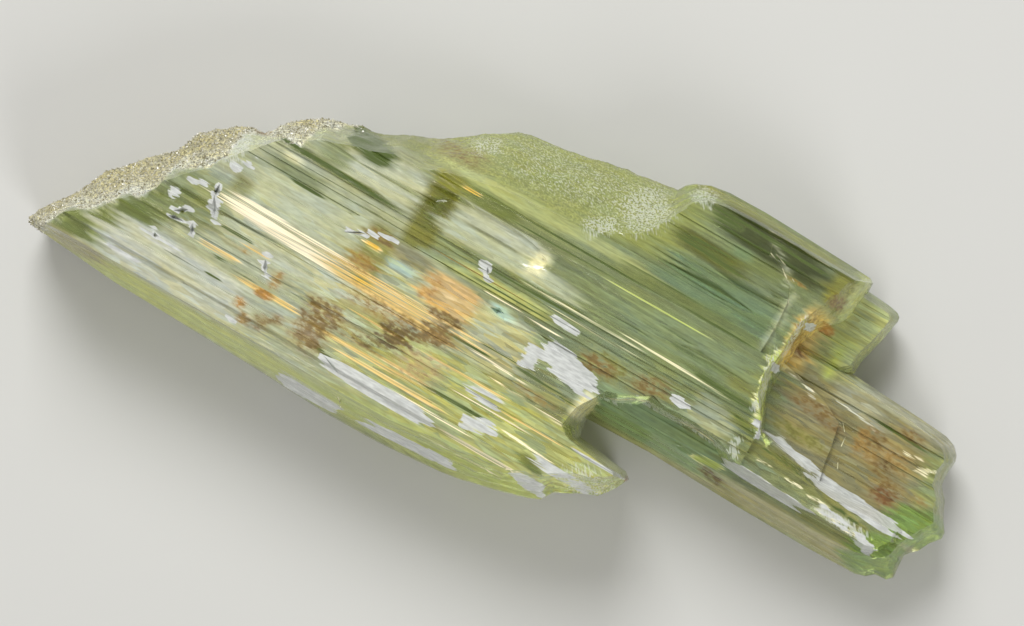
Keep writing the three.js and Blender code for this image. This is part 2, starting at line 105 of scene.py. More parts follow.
# How the places of the crystal look in pale studio light
MIST = linear(192, 199, 168)
PEARL = linear(202, 207, 178)
HAZE = linear(202, 206, 188)
SAGE = linear(152, 160, 94)
STRAW = linear(196, 204, 132)
SAND = linear(176, 168, 126)
CREAM = linear(230, 226, 184)
IVORY = linear(255, 243, 208)
# the white of the painted reflections, the painted glints and the veils under them
HIGHLIGHT_WHITE = linear(218, 221, 218)
LEAF = linear(132, 168, 86)
LIME = linear(188, 202, 108)
MEADOW = linear(134, 150, 78)
FERN = linear(152, 166, 108)
MOSS = linear(92, 112, 50)
# the green of the painted shade lines
DARK_GREEN = linear(92, 110, 52)
OLIVE = linear(148, 146, 70)
DEEP_OLIVE = linear(104, 108, 54)
CHARCOAL = linear(70, 78, 50)
SEA = linear(138, 156, 114)
TEAL = linear(126, 156, 114)
GLASS_GREEN = linear(144, 172, 124)
MINT = linear(186, 216, 196)
TAUPE = linear(150, 143, 108)
GOLD = linear(230, 200, 126)
HONEY = linear(240, 196, 80)
AMBER = linear(178, 142, 72)
ORANGE = linear(196, 142, 62)
PEACH = linear(214, 180, 128)
BROWN = linear(142, 112, 56)
UMBER = linear(108, 80, 36)
OXBLOOD = linear(132, 84, 40)
# the frost's beige at its outer rim, and its crest by the inner line painted lighter: painted light on the
# etched relief
SUGAR_RIM = linear(190, 183, 146)
SUGAR_CREST = linear(216, 216, 198)
SUGAR = linear(246, 244, 228)

# The inner line of the etched upper edge, as [x, y] from the pointed end to the broken end
ETCHED_LINE = [
    (-23.6, -9.8), (-22.7, -8.9), (-22.3, -7.9), (-21.9, -7.1), (-20.9, -6.6), (-20.4, -6.0), (-20.0, -5.3),
    (-19.1, -4.9), (-18.7, -4.2), (-18.5, -3.0), (-17.5, -2.5), (-17.0, -2.0), (-16.5, -1.2), (-16.4, 0.2),
    (-15.7, 0.9), (-13.6, 1.0), (-13.3, 2.3), (-12.2, 3.1), (-9.4, 3.7), (-7.2, 3.8), (-5.0, 4.4),
    (-2.6, 4.6), (0.0, 4.7), (1.4, 5.0), (3.2, 5.9), (3.8, 7.0), (4.3, 8.4), (4.9, 9.9),
]
SUGAR_ENDS_AT = -12.6  # the sugary grain gives way to the smoother etched slope here

# Every mark below begins: x, y, half length, half width, turn in degrees, softness of its edge
# Patches of body colour, broad ones first, with a few painted glints and patches of painted light among them:
# colour, strength, share that is cloudy
PATCHES = [
    (9.0, 4.0, 9.5, 7.0, 0, 0.45, SEA, 0.95, 0.32), (-13.0, -4.0, 9.5, 6.5, 0, 0.3, MIST, 0.9, 0.5),
    (-1.2, 6.6, 7.0, 2.6, 12, 0.25, SAGE, 0.95, 0.55), (1.8, -7.0, 8.5, 2.4, 0, 0.3, STRAW, 0.85, 0.45),
    (18.2, 2.3, 5.0, 2.9, 0, 0.2, TAUPE, 0.95, 0.4), (15.2, 7.0, 1.9, 2.5, 0, 0.2, FERN, 0.6, 0.4),
    (-2.3, 5.85, 0.7, 0.3, 0, 0.6, MEADOW, 0.5, 0.5), (14.5, -3.0, 9.0, 0.5, 0, 0.5, SAND, 0.85, 0.6),
    # painted light: this patch is lighter to lift the shade that the main plate's wall casts on the lower
    # plate
    (8.8, -2.3, 4.0, 0.9, 0, 0.25, GLASS_GREEN, 0.95, 0.45),
    (-20.3, -6.9, 2.7, 0.8, 38, 0.25, MEADOW, 0.95, 0.3),
    (-18.2, -4.9, 1.7, 0.9, 40, 0.3, MEADOW, 0.85, 0.3), (-16.9, -3.7, 1.6, 1.4, 0, 0.35, FERN, 0.8, 0.35),
    # painted light: the second patch here is lighter to lift the shade of the steep lower bevel, which faces
    # away from the lamps
    (-20.2, -7.55, 0.4, 0.35, 0, 0.5, LIME, 0.7, 0.4), (-13.5, -8.95, 9.6, 0.5, 0, 0.35, STRAW, 0.95, 0.7),
    (-21.0, -8.7, 1.6, 0.4, 0, 0.4, SAND, 0.9, 0.45), (-16.0, -7.2, 4.2, 1.2, 0, 0.14, HAZE, 0.95, 0.6),
    (-11.6, -1.15, 3.5, 1.2, 0, 0.12, MIST, 0.9, 0.6), (-11.6, 1.9, 1.2, 0.7, 20, 0.4, FERN, 0.7, 0.4),
    (-9.2, 2.0, 1.95, 1.0, 0, 0.1, PEARL, 0.95, 0.62), (-10.0, 3.9, 3.0, 0.5, 8, 0.4, SAGE, 0.8, 0.4),
    (-10.5, 2.9, 1.2, 0.62, -8, 0.3, MOSS, 1.0, 0.15), (-11.4, 0.92, 3.3, 0.18, -2, 0.35, MEADOW, 0.95, 0.2),
    (-13.5, 0.42, 0.6, 0.22, 0, 0.3, CREAM, 0.9, 0.8), (-13.0, -0.1, 1.4, 0.38, 0, 0.3, FERN, 0.7, 0.3),
    (-11.1, -4.1, 4.1, 0.48, 0, 0.2, PEARL, 0.8, 0.58), (-15.1, -2.0, 0.4, 0.55, 0, 0.4, OLIVE, 0.7, 0.3),
    (-2.5, 0.3, 3.6, 0.7, 0, 0.3, FERN, 0.85, 0.35), (-6.4, 1.6, 0.78, 2.2, 0, 0.16, OLIVE, 0.95, 0.3),
    (-6.3, 1.9, 0.55, 0.95, 0, 0.3, DEEP_OLIVE, 0.8, 0.2), (1.0, 3.4, 5.4, 0.38, 0, 0.4, FERN, 0.8, 0.3),
    (-4.0, 3.35, 1.4, 0.36, 0, 0.2, MEADOW, 0.95, 0.25), (-6.2, 3.3, 1.0, 0.36, 0, 0.25, OLIVE, 0.7, 0.5),
    (-1.0, 4.2, 6.0, 0.3, 1, 0.3, STRAW, 0.8, 0.5), (-1.8, 1.45, 4.0, 0.48, 0, 0.12, MIST, 0.95, 0.6),
    (-3.0, 2.42, 2.6, 0.5, 0, 0.12, PEARL, 0.95, 0.6), (-3.0, 1.94, 1.5, 0.08, 0, 0.4, DEEP_OLIVE, 0.7, 0.2),
    # painted highlight: the first patch here is a cream glint at the rim of the shallow lens
    (-0.55, 1.9, 0.36, 0.72, -8, 0.3, CREAM, 1.0, 0.88), (5.2, 1.9, 4.2, 1.0, -6, 0.3, FERN, 0.5, 0.42),
    (-0.5, -2.4, 1.8, 1.5, 0, 0.2, CREAM, 0.6, 0.55), (-1.5, -5.2, 5.0, 1.2, 0, 0.3, STRAW, 0.7, 0.5),
    (5.5, -5.8, 3.0, 1.3, 0, 0.3, STRAW, 0.8, 0.5), (2.6, -8.2, 4.4, 0.5, 12, 0.4, LIME, 0.9, 0.4),
    (7.0, -6.7, 1.6, 0.5, 38, 0.4, LIME, 0.7, 0.45), (-0.5, -8.6, 6.5, 0.7, 4, 0.4, LIME, 0.6, 0.55),
    (4.0, -6.75, 0.7, 0.3, -5, 0.3, MEADOW, 0.9, 0.2), (-1.5, -0.1, 2.6, 0.36, 0, 0.3, STRAW, 0.9, 0.6),
    # painted highlights: both patches here are mint glints
    (-0.85, -1.0, 0.55, 0.32, 0, 0.25, MINT, 0.9, 0.8), (-6.4, -1.6, 0.8, 0.22, 0, 0.3, MINT, 0.8, 0.6),
    (-6.0, -0.9, 1.0, 0.4, 0, 0.2, TAUPE, 0.8, 0.4), (-7.9, -1.8, 0.85, 1.6, 0, 0.16, OLIVE, 0.85, 0.45),
    (-3.5, -1.6, 1.5, 0.88, 0, 0.08, PEACH, 0.95, 0.7), (4.9, -3.0, 0.5, 0.8, -8, 0.15, CREAM, 0.95, 0.8),
    (4.9, -4.15, 0.5, 0.35, 0, 0.3, LIME, 0.8, 0.5), (9.2, 8.5, 3.0, 0.8, -4, 0.2, CHARCOAL, 0.88, 0.12),
    (8.4, 9.5, 4.6, 0.26, 0, 0.3, OLIVE, 0.6, 0.4), (6.6, 6.7, 1.9, 0.5, -3, 0.35, DEEP_OLIVE, 0.95, 0.15),
    (9.4, 7.3, 2.2, 0.36, 0, 0.4, MEADOW, 0.6, 0.2), (7.9, 7.45, 0.6, 0.3, 0, 0.4, TEAL, 0.7, 0.4),
    (8.2, 5.1, 3.1, 0.95, 0, 0.3, TEAL, 0.95, 0.28), (7.5, 3.95, 4.4, 0.3, 0, 0.35, MEADOW, 0.7, 0.2),
    (7.8, 2.1, 4.0, 1.0, 0, 0.2, SEA, 0.8, 0.42), (11.1, 1.75, 0.8, 0.3, 0, 0.5, OLIVE, 0.6, 0.4),
    (10.6, 1.1, 2.1, 0.25, -3, 0.4, MOSS, 0.6, 0.2), (10.7, -0.3, 1.3, 0.75, -10, 0.25, MIST, 0.7, 0.55),
    (12.1, 0.15, 0.8, 0.3, -10, 0.4, MEADOW, 0.8, 0.3), (16.2, -0.75, 3.5, 0.48, -5, 0.25, OLIVE, 0.6, 0.3),
    # painted light: the first patch here is lighter to lift the shade on the wall under the main plate's
    # broken end
    (12.8, 5.3, 0.85, 1.7, 0, 0.25, GOLD, 0.85, 0.8), (9.9, 8.0, 1.45, 0.13, -43, 0.4, PEARL, 0.6, 0.7),
    (11.1, 5.4, 0.12, 1.6, 0, 0.4, PEARL, 0.6, 0.7), (12.0, 3.1, 0.26, 0.95, 4, 0.2, LIME, 1.0, 0.75),
    (12.45, 1.35, 0.26, 1.0, 20, 0.2, LIME, 1.0, 0.75), (13.1, 8.2, 0.78, 0.9, 0, 0.2, OLIVE, 0.9, 0.4),
    (14.0, 8.2, 0.36, 1.5, 0, 0.3, STRAW, 0.9, 0.55), (15.2, 6.6, 1.6, 2.0, 0, 0.3, STRAW, 0.6, 0.5),
    (14.65, 5.1, 0.36, 0.9, 0, 0.35, LIME, 0.95, 0.6), (14.6, 6.3, 0.7, 0.4, 0, 0.4, LIME, 0.6, 0.4),
    (19.0, 4.7, 3.4, 0.4, -4, 0.35, HAZE, 0.5, 0.5), (16.9, 3.9, 1.3, 0.5, -10, 0.4, HAZE, 0.5, 0.5),
    (22.2, 2.5, 1.0, 1.5, 15, 0.3, FERN, 0.85, 0.4), (22.4, 0.0, 1.6, 1.0, 10, 0.16, LEAF, 1.0, 0.35),
    (21.3, -2.3, 1.5, 1.2, 0, 0.16, LEAF, 1.0, 0.35),
]

# Painted reflections: white painted where facets reflect the soft boxes, and painted highlights on the lit
# walls of etch pits: strength
PAINTED_REFLECTIONS = [
    (19.2, -0.5, 2.8, 0.4, -4, 0.15, 1.0), (15.4, 0.12, 1.9, 0.26, -10, 0.2, 0.85),
    (14.7, -1.95, 2.3, 0.27, -2, 0.15, 0.9), (18.4, -1.6, 1.3, 0.3, -8, 0.4, 0.5),
    (20.5, -2.0, 0.7, 0.3, -20, 0.3, 0.9), (1.4, -2.2, 0.4, 0.65, 0, 0.15, 0.85),
    (3.3, -1.75, 1.6, 0.7, -15, 0.12, 0.95), (2.2, 0.0, 0.9, 0.2, -4, 0.25, 0.8),
    (0.4, -5.05, 1.2, 0.35, 0, 0.3, 0.62), (0.9, -6.4, 1.0, 0.4, 15, 0.2, 0.8),
    (-4.4, -7.45, 3.1, 0.42, 0, 0.12, 1.1), (-1.7, -9.0, 2.6, 0.25, 4, 0.15, 1.0),
    (-7.2, -9.35, 1.8, 0.3, 0, 0.15, 0.95), (4.5, -7.7, 0.9, 0.35, -5, 0.15, 1.0),
    (5.8, -6.5, 1.9, 0.3, -3, 0.3, 0.7), (7.0, -5.1, 1.5, 0.12, 0, 0.3, 0.65),
    (-18.6, -7.6, 1.2, 0.45, 0, 0.3, 0.5), (-17.3, -6.3, 1.5, 0.35, 0, 0.3, 0.5),
    (-15.4, -0.95, 0.75, 0.12, 52, 0.3, 1.3), (-17.0, -2.9, 0.4, 0.13, 20, 0.3, 1.3),
    (-16.0, -2.75, 0.35, 0.14, 100, 0.3, 1.2), (-15.75, -3.6, 0.75, 0.16, 118, 0.3, 1.4),
    (-17.75, -3.8, 0.45, 0.11, 70, 0.3, 1.3), (-17.1, -4.5, 0.5, 0.11, 35, 0.3, 1.3),
    (-17.0, -5.0, 0.6, 0.09, 8, 0.3, 1.2), (-16.15, -5.1, 0.45, 0.11, 115, 0.3, 1.3),
    (-12.1, -4.8, 0.65, 0.13, 120, 0.3, 1.4), (-17.6, -6.1, 0.35, 0.12, 130, 0.3, 1.2),
    (-12.2, -8.0, 0.2, 0.12, 0, 0.3, 1.2), (-2.6, 0.4, 0.5, 0.16, 118, 0.3, 1.3),
    (-8.6, -1.0, 0.95, 0.09, 24, 0.3, 1.3), (-7.4, -0.62, 0.5, 0.08, 8, 0.3, 1.2),
    (8.95, -0.45, 0.3, 0.26, 30, 0.2, 1.5), (12.7, 6.0, 0.32, 0.18, 30, 0.3, 1.2),
    (12.2, 3.4, 0.25, 0.2, 0, 0.3, 1.2), (12.9, 0.3, 0.2, 0.5, 20, 0.3, 0.8),
]

# Golden streaks along the striations, partly the golden colour of growth tubes and partly painted highlights
# and glints: colour, strength
GOLD_STREAKS_AND_GLINTS = [
    (-11.0, -3.15, 4.5, 0.34, -2.5, 0.5, IVORY, 1.0), (-10.5, -2.66, 4.9, 0.15, -2, 0.5, IVORY, 0.9),
    (-6.2, -3.2, 3.0, 0.5, -3, 0.5, GOLD, 0.95), (-4.2, -3.65, 2.2, 0.16, -3, 0.5, GOLD, 0.8),
    (-13.1, -4.42, 0.8, 0.11, 0, 0.5, GOLD, 0.9), (-14.5, -5.35, 1.2, 0.14, 0, 0.5, GOLD, 0.85),
    (-11.3, -6.0, 1.7, 0.13, 0, 0.5, GOLD, 0.85), (-5.5, -6.2, 3.0, 0.12, 0, 0.5, GOLD, 0.85),
    (-5.0, -5.9, 2.5, 0.08, 0, 0.5, GOLD, 0.8), (-3.5, -6.65, 3.0, 0.08, 0, 0.5, GOLD, 0.8),
    (1.5, -7.5, 2.6, 0.11, 0, 0.5, IVORY, 0.8), (-1.0, -4.6, 2.2, 0.09, 0, 0.5, GOLD, 0.8),
    (2.5, -4.2, 2.0, 0.09, -3, 0.5, IVORY, 0.8), (2.5, 0.82, 3.6, 0.06, 0, 0.5, CREAM, 0.9),
    (-8.0, -1.35, 0.42, 0.14, 0, 0.4, HONEY, 0.9), (-7.7, -3.1, 0.4, 0.2, 0, 0.4, HONEY, 0.8),
    (-5.2, 3.45, 0.6, 0.1, 0, 0.4, HONEY, 0.7), (11.7, -2.35, 0.8, 0.2, 4, 0.4, LIME, 1.2),
    (11.95, 3.2, 0.2, 0.95, 4, 0.3, LIME, 1.2), (12.4, 1.4, 0.2, 1.0, 20, 0.3, LIME, 1.2),
    (12.2, 5.3, 0.15, 1.1, -8, 0.3, LIME, 1.0), (12.9, 0.35, 0.5, 0.14, -20, 0.3, LIME, 1.1),
    (-3.5, -2.75, 2.8, 0.06, -2, 0.5, GOLD, 0.8), (-1.8, -3.05, 2.2, 0.05, -3, 0.5, GOLD, 0.8),
    (0.6, -3.4, 1.8, 0.06, -3, 0.5, IVORY, 0.8), (-5.8, -4.6, 1.6, 0.07, 0, 0.5, GOLD, 0.8),
    (0.8, -5.5, 2.3, 0.06, 0, 0.5, IVORY, 0.8), (2.9, -5.2, 1.9, 0.05, 0, 0.5, GOLD, 0.75),
    (3.9, -6.1, 1.5, 0.06, -4, 0.5, IVORY, 0.75), (-1.6, -7.05, 2.3, 0.06, 0, 0.5, IVORY, 0.75),
    (1.3, -8.15, 2.0, 0.05, 3, 0.5, CREAM, 0.7), (-3.0, 0.05, 2.6, 0.05, 0, 0.5, GOLD, 0.8),
    (0.0, -0.55, 2.6, 0.05, -2, 0.5, IVORY, 0.75), (3.6, 0.42, 2.8, 0.05, 0, 0.5, CREAM, 0.7),
    (14.4, 3.2, 1.1, 0.07, -18, 0.5, HAZE, 0.9), (17.3, 3.35, 1.3, 0.06, -8, 0.5, HAZE, 0.8),
    (20.2, 2.9, 0.5, 0.08, 20, 0.5, CREAM, 0.9), (16.0, -1.15, 2.2, 0.05, -5, 0.5, CREAM, 0.8),
    (7.6, 1.0, 3.0, 0.05, -2, 0.5, CREAM, 0.7), (6.0, 3.0, 3.4, 0.04, 0, 0.5, LIME, 0.7),
    (21.3, 2.7, 0.6, 0.1, 25, 0.4, CREAM, 1.0), (18.9, -1.75, 1.2, 0.1, -6, 0.5, CREAM, 0.9),
]

# Iron stains: colour, strength
IRON_STAINS = [
    (-5.5, -3.9, 2.8, 0.55, -3, 0.6, AMBER, 0.62), (-3.2, -5.3, 1.4, 0.8, 10, 0.7, PEACH, 0.6),
    (-6.4, -5.6, 1.3, 0.4, 0, 0.6, BROWN, 0.65), (-8.4, -5.3, 1.1, 0.55, 0, 0.5, BROWN, 0.85),
    (-8.6, -6.3, 0.9, 1.2, 0, 0.6, BROWN, 0.95), (-8.6, -6.9, 0.6, 0.6, 0, 0.6, BROWN, 0.8),
    (-4.55, -1.6, 0.3, 0.8, 0, 0.5, ORANGE, 0.6), (-11.4, -5.2, 0.25, 0.5, 0, 0.4, AMBER, 1.0),
    (-11.5, -6.1, 0.5, 0.22, 0, 0.4, ORANGE, 1.0), (-12.25, -7.0, 0.3, 0.28, 0, 0.5, ORANGE, 1.0),
    (-11.8, -7.65, 0.38, 0.3, 0, 0.5, AMBER, 0.95), (-11.0, -7.4, 0.35, 0.45, 0, 0.6, BROWN, 0.85),
    (-10.4, -6.9, 0.5, 0.22, 30, 0.6, BROWN, 0.8), (-13.4, -4.7, 0.3, 0.1, 0, 0.6, AMBER, 0.8),
    (-7.9, -0.75, 0.8, 0.34, 0, 0.5, BROWN, 0.8), (-8.1, -2.3, 0.75, 0.4, 0, 0.5, AMBER, 0.9),
    (-3.1, -2.6, 1.0, 0.24, 0, 0.4, BROWN, 0.95), (-4.6, -2.1, 0.4, 0.4, 0, 0.5, ORANGE, 0.6),
    (-4.1, -4.2, 2.0, 0.5, 34, 0.6, UMBER, 1.1), (-3.1, -3.6, 0.9, 0.5, 32, 0.6, BROWN, 0.9),
    (4.8, -0.75, 1.2, 0.62, 0, 0.6, OLIVE, 0.9), (4.4, -0.9, 0.8, 0.35, 0, 0.6, BROWN, 0.75),
    (7.3, -0.5, 1.0, 0.55, 15, 0.6, BROWN, 0.75), (2.5, -3.8, 1.3, 0.25, 0, 0.6, AMBER, 0.6),
    (8.72, -5.1, 0.18, 0.16, 0, 0.4, OXBLOOD, 1.3), (-15.75, 0.85, 0.4, 0.16, 10, 0.5, BROWN, 1.0),
    (12.45, 5.6, 0.5, 1.3, 0, 0.7, AMBER, 0.65), (12.95, 4.7, 0.28, 0.3, 0, 0.5, OXBLOOD, 0.8),
    (13.5, 6.35, 0.42, 0.26, 0, 0.4, ORANGE, 1.1), (13.2, 7.7, 0.45, 0.45, 0, 0.6, BROWN, 0.8),
    (10.9, 7.55, 0.6, 0.1, 0, 0.5, AMBER, 0.8), (15.0, 2.6, 1.3, 0.45, 0, 0.7, BROWN, 0.75),
    (14.9, 1.1, 1.7, 0.35, 0, 0.7, OLIVE, 0.8), (17.9, 2.5, 0.5, 0.7, 0, 0.6, BROWN, 0.9),
    (19.1, 2.3, 1.4, 0.8, 0, 0.8, AMBER, 0.75), (19.8, 3.9, 0.7, 0.3, 0, 0.7, BROWN, 0.75),
    (18.4, 2.9, 0.35, 0.5, 0, 0.6, BROWN, 0.8), (16.2, 2.3, 0.6, 0.3, 0, 0.7, BROWN, 0.75),
    (19.4, 1.7, 0.4, 0.4, 0, 0.6, UMBER, 0.7), (20.05, 0.85, 0.85, 0.8, 0, 0.8, BROWN, 0.8),
    (20.15, 0.45, 0.5, 0.35, 0, 0.7, OXBLOOD, 0.9), (21.8, 1.2, 0.5, 0.3, 0, 0.7, AMBER, 0.6),
    (12.3, -2.85, 0.8, 0.24, -6, 0.5, UMBER, 0.85), (-6.6, 4.8, 1.4, 0.5, 5, 0.7, BROWN, 0.55),
]

# Painted shade: dark green lines and spots between striations, painted where the steep striation walls lose
# the light: strength
PAINTED_SHADE_LINES = [
    (-10.6, 2.85, 1.25, 0.55, -8, 0.4, 1.1), (-11.4, 0.92, 3.2, 0.13, -2, 0.4, 0.95),
    (6.6, 6.7, 1.9, 0.35, -3, 0.5, 0.7), (10.5, 1.1, 2.0, 0.16, -3, 0.5, 0.7),
    (12.1, 0.15, 0.7, 0.22, -10, 0.5, 0.7), (-6.35, 1.6, 0.5, 1.4, 0, 0.6, 0.45),
    (-14.2, -4.2, 0.9, 0.1, 0, 0.4, 1.0), (-14.1, -6.55, 0.45, 0.07, 0, 0.5, 0.9),
    (-14.3, -5.65, 0.5, 0.07, 0, 0.5, 0.8), (-12.4, -0.5, 1.0, 0.07, 0, 0.5, 0.8),
    (-1.0, -0.2, 2.6, 0.07, 0, 0.5, 0.8), (-0.5, 0.6, 4.0, 0.08, 0, 0.5, 0.7),
    (-7.1, -7.3, 1.0, 0.13, -20, 0.4, 1.0), (9.6, 8.7, 2.5, 0.1, -3, 0.5, 0.9),
    (9.0, 8.15, 3.0, 0.07, 0, 0.5, 0.8), (6.0, 4.2, 3.6, 0.07, 0, 0.5, 0.7),
    (9.0, 3.7, 3.0, 0.06, 0, 0.5, 0.7), (1.0, 3.6, 5.0, 0.06, 0, 0.5, 0.75),
    (1.0, 3.2, 4.0, 0.06, 0, 0.5, 0.75), (19.6, 3.6, 1.9, 0.08, -3, 0.5, 0.85),
    (18.9, -1.2, 0.9, 0.08, -6, 0.5, 0.9), (2.5, -3.05, 1.7, 0.08, -4, 0.5, 0.95),
    (0.5, -2.85, 1.6, 0.07, 0, 0.5, 0.8), (-1.0, -6.0, 2.4, 0.1, 0, 0.5, 0.8),
    (-2.2, -6.75, 1.6, 0.1, 0, 0.5, 0.8), (-2.0, -3.2, 1.6, 0.08, 0, 0.5, 0.8),
    (16.0, -0.5, 3.0, 0.2, -5, 0.6, 0.6), (6.5, 8.6, 1.0, 0.5, 0, 0.6, 0.6),
]

# Painted glints: white sparkles painted on frosted slopes, ledges and broken edges: strength
PAINTED_GLINTS = [
    (2.7, 7.0, 1.2, 1.1, 50, 0.9, 0.7), (1.2, 5.1, 0.9, 0.5, 40, 0.9, 0.65),
    (-5.7, 5.8, 0.9, 0.5, 30, 0.7, 0.5), (-1.0, 6.6, 4.5, 1.4, 10, 0.6, 0.31),
    (6.4, -1.8, 1.0, 0.13, 28, 0.4, 1.0), (8.3, -1.3, 1.2, 0.13, 0, 0.4, 1.0),
    (11.0, -1.3, 1.6, 0.13, -5, 0.4, 0.95), (12.4, -1.0, 0.25, 0.6, 10, 0.5, 0.8),
    (12.15, 2.2, 0.2, 1.9, 12, 0.5, 0.85), (12.2, 5.2, 0.15, 1.2, 0, 0.5, 0.7),
    (7.2, -6.3, 1.3, 0.9, 0, 0.6, 0.6), (19.0, -1.65, 1.3, 0.3, 0, 0.6, 0.8),
    (5.0, 9.0, 0.6, 0.6, 0, 0.6, 0.6), (-16.2, -0.4, 0.4, 1.1, 0, 0.6, 0.7),
]

# Places where small inner facets show, more or less, as painted light and shade of random cells: strength
LIVELY_PLACES = [
    (0.0, 0.0, 30.0, 12.0, 0, 0.3, 0.22), (-2.5, -4.6, 7.5, 3.6, 0, 0.3, 0.95),
    (5.0, -6.3, 4.0, 1.8, 0, 0.3, 0.9), (1.0, -2.2, 4.6, 1.8, 0, 0.3, 0.7),
    (18.0, 2.4, 4.5, 2.2, 0, 0.3, 0.75), (16.0, -1.2, 5.0, 1.2, -4, 0.3, 0.7),
    (9.5, -0.4, 3.4, 1.1, 0, 0.3, 0.7), (-15.4, -3.6, 2.4, 2.4, 0, 0.4, 0.5),
    (-14.0, -8.0, 6.0, 0.8, 0, 0.4, 0.5), (12.6, 3.0, 0.9, 4.0, 0, 0.3, 0.9),
    (22.0, 0.0, 2.0, 4.0, 0, 0.3, 0.7), (-1.0, 0.3, 5.0, 0.9, 0, 0.4, 0.6),
    (15.2, 6.5, 1.6, 2.4, 0, 0.3, 0.6),
]

# What is stored on the surface for the marks other than patches
MARKS = {
    "dark": PAINTED_SHADE_LINES, "gold": GOLD_STREAKS_AND_GLINTS, "stain": IRON_STAINS, "bright": PAINTED_REFLECTIONS,
    "glitter": PAINTED_GLINTS, "lively": LIVELY_PLACES,
}
MARK_HEIGHTS = (0.5, 1.4)  # the marks fade in between these heights, so the underside has none
JAG = 1.5  # how far striations draw the ends of a mark out or in, in millimetres
MOST_JAG = 0.45  # but no further than this share of its half length

# Cracks and edges of thin layers: thickness, then x, y pairs
CRACKS = [
    (2.6, [
        (9.0, 9.4), (9.0, 8.7), (9.1, 8.2), (10.0, 7.8), (10.8, 7.2), (11.1, 6.5), (11.15, 5.2), (11.1, 4.0),
    ]),
    (1.6, [(9.3, 8.9), (9.35, 8.3), (10.2, 7.95), (11.0, 7.4), (11.35, 6.6), (11.4, 5.4)]),
    (2.0, [(6.5, 9.1), (9.0, 9.12), (12.0, 9.08), (14.0, 9.0)]),
    (3.0, [
        (5.4, -2.2), (6.2, -1.9), (7.0, -1.4), (7.6, -1.2), (8.6, -1.35), (10.2, -1.2), (11.4, -1.3),
        (12.5, -1.9),
    ]),
    (2.2, [(-9.9, -1.55), (-9.2, -1.3), (-8.4, -0.9), (-7.6, -0.65), (-7.0, -0.6)]),
    (2.0, [(-6.4, -7.6), (-6.1, -8.1), (-6.0, -8.5), (-5.6, -8.9), (-5.2, -9.5)]),
    (1.8, [(16.4, 2.9), (17.0, 2.2), (17.1, 1.3), (17.5, 0.5), (18.6, 0.1)]),
    (1.6, [(13.0, 3.8), (14.2, 3.4), (15.6, 2.9), (16.6, 2.6)]),
]
CRACK_DEPTH = 0.04  # under the upper surface, in millimetres

# Where fine tubes run: from x, to x, from y, to y, share of the tubes
TUBE_FIELDS = [
    (-18.0, 4.0, -8.0, -1.0, 0.5),
    (-12.0, 11.0, -0.5, 4.0, 0.3),
    (12.5, 20.0, -1.4, 3.5, 0.2),
]
TUBE_STEP = 0.9  # distance between the points of a tube, in millimetres
TUBE_LENGTHS = (1.5, 7.0)
TUBE_DEPTHS = (0.2, 3.4)
TUBE_WIDTHS = (0.5, 1.4)  # times the width of a tube
CORES = 12  # golden cores for each millimetre of a streak's half width
CORE_SPREAD = 0.7  # of the half width
CORE_REACH = (0.6, 0.95)  # of the half length
CORE_DEPTHS = (0.1, 2.6)
CORE_WIDTHS = (0.8, 1.8)

# Films and veils, in millimetres
FILM_RINGS = 9
FILM_SPOKES = 28
FILM_COVER = 0.8
FILM_DEPTHS = (0.3, 2.0)  # times the depth in the settings
FILM_REACH = (0.85, 1.25)  # times the size of the mark
BROAD_FILM = 0.2  # marks at least this large in half length times half width have a film
LEDGE = 0.8  # films and tubes stay on their own side of a step this high
LOWEST_FILM = 0.7  # no film or tube lies lower than this
FAR = 20.0  # further than any part of the crystal
WAVES = 0.08  # how far a film rises and falls

# How films look: roughness, cells along and across, cover where they start and are full
IRON_FILM = (0.5, 0.9, 0.35, 0.2, 0.45)
VEIL = (0.3, 5.0, 0.25, 0.2, 0.5)

# The seeds of what is drawn at random
GRAIN_SEED = 3
RUST_SEED = 5
IRON_SEED = 11
VEIL_SEED = 23
THREAD_SEED = 31

# The striations: waves on a millimetre along and across, shift, share of the height
STRIATIONS = [(0.05, 1.9, 0.0, 0.75), (0.1, 4.1, 7.0, 0.45)]
CALM = (-0.35, 0.3)  # the noise between which calm places turn lively
LEAST = 0.35  # share of the height that calm places keep
FINER = 2.1  # the etched grain has half as high a grain this many times as fine on it

# The etched edge, in millimetres
ETCH_EDGE = (-0.15, 0.1)  # the etching sets in between these distances past the line
RAGGED = 0.3  # how far the line is ragged
RAGS = 1.7  # rags on a millimetre
SLOPE = 0.4  # how etched the smoother slope is
SUGAR_FADE = 1.5  # how far the sugary grain takes to give way
CREST = (1.4, 0.1)  # the frost turns from rim to crest between these distances past the line
UNDERSIDE = 0.02  # nothing is etched lower than this
FROSTED = 0.45  # faces more etched than this carry grains
GRAIN_SIZES = (0.45, 1.25)
LEAN = 0.35  # how far an upright grain leans, in radians

# How the solid's faces are cut
COARSE = 4  # the strips of the flat underside are this many times as wide and long
FACING_DOWN = -0.9
STEEP = 0.7
SHORTENED = 0.2  # faces more etched than this are cut shorter
SHARP = math.radians(16)

# How bright a white cloudy face looks in the studio, a white clear one over the floor, and the gloss on both
CLOUDY_LIGHT = 0.9
CLEAR_LIGHT = 0.46
GLOSS = 0.028
DEEPEST = 0.002
PALEST = 0.97
SUGAR_CLOUD = 0.8
CLOUDY_BETWEEN = 0.3  # how cloudy the faces between the patches are

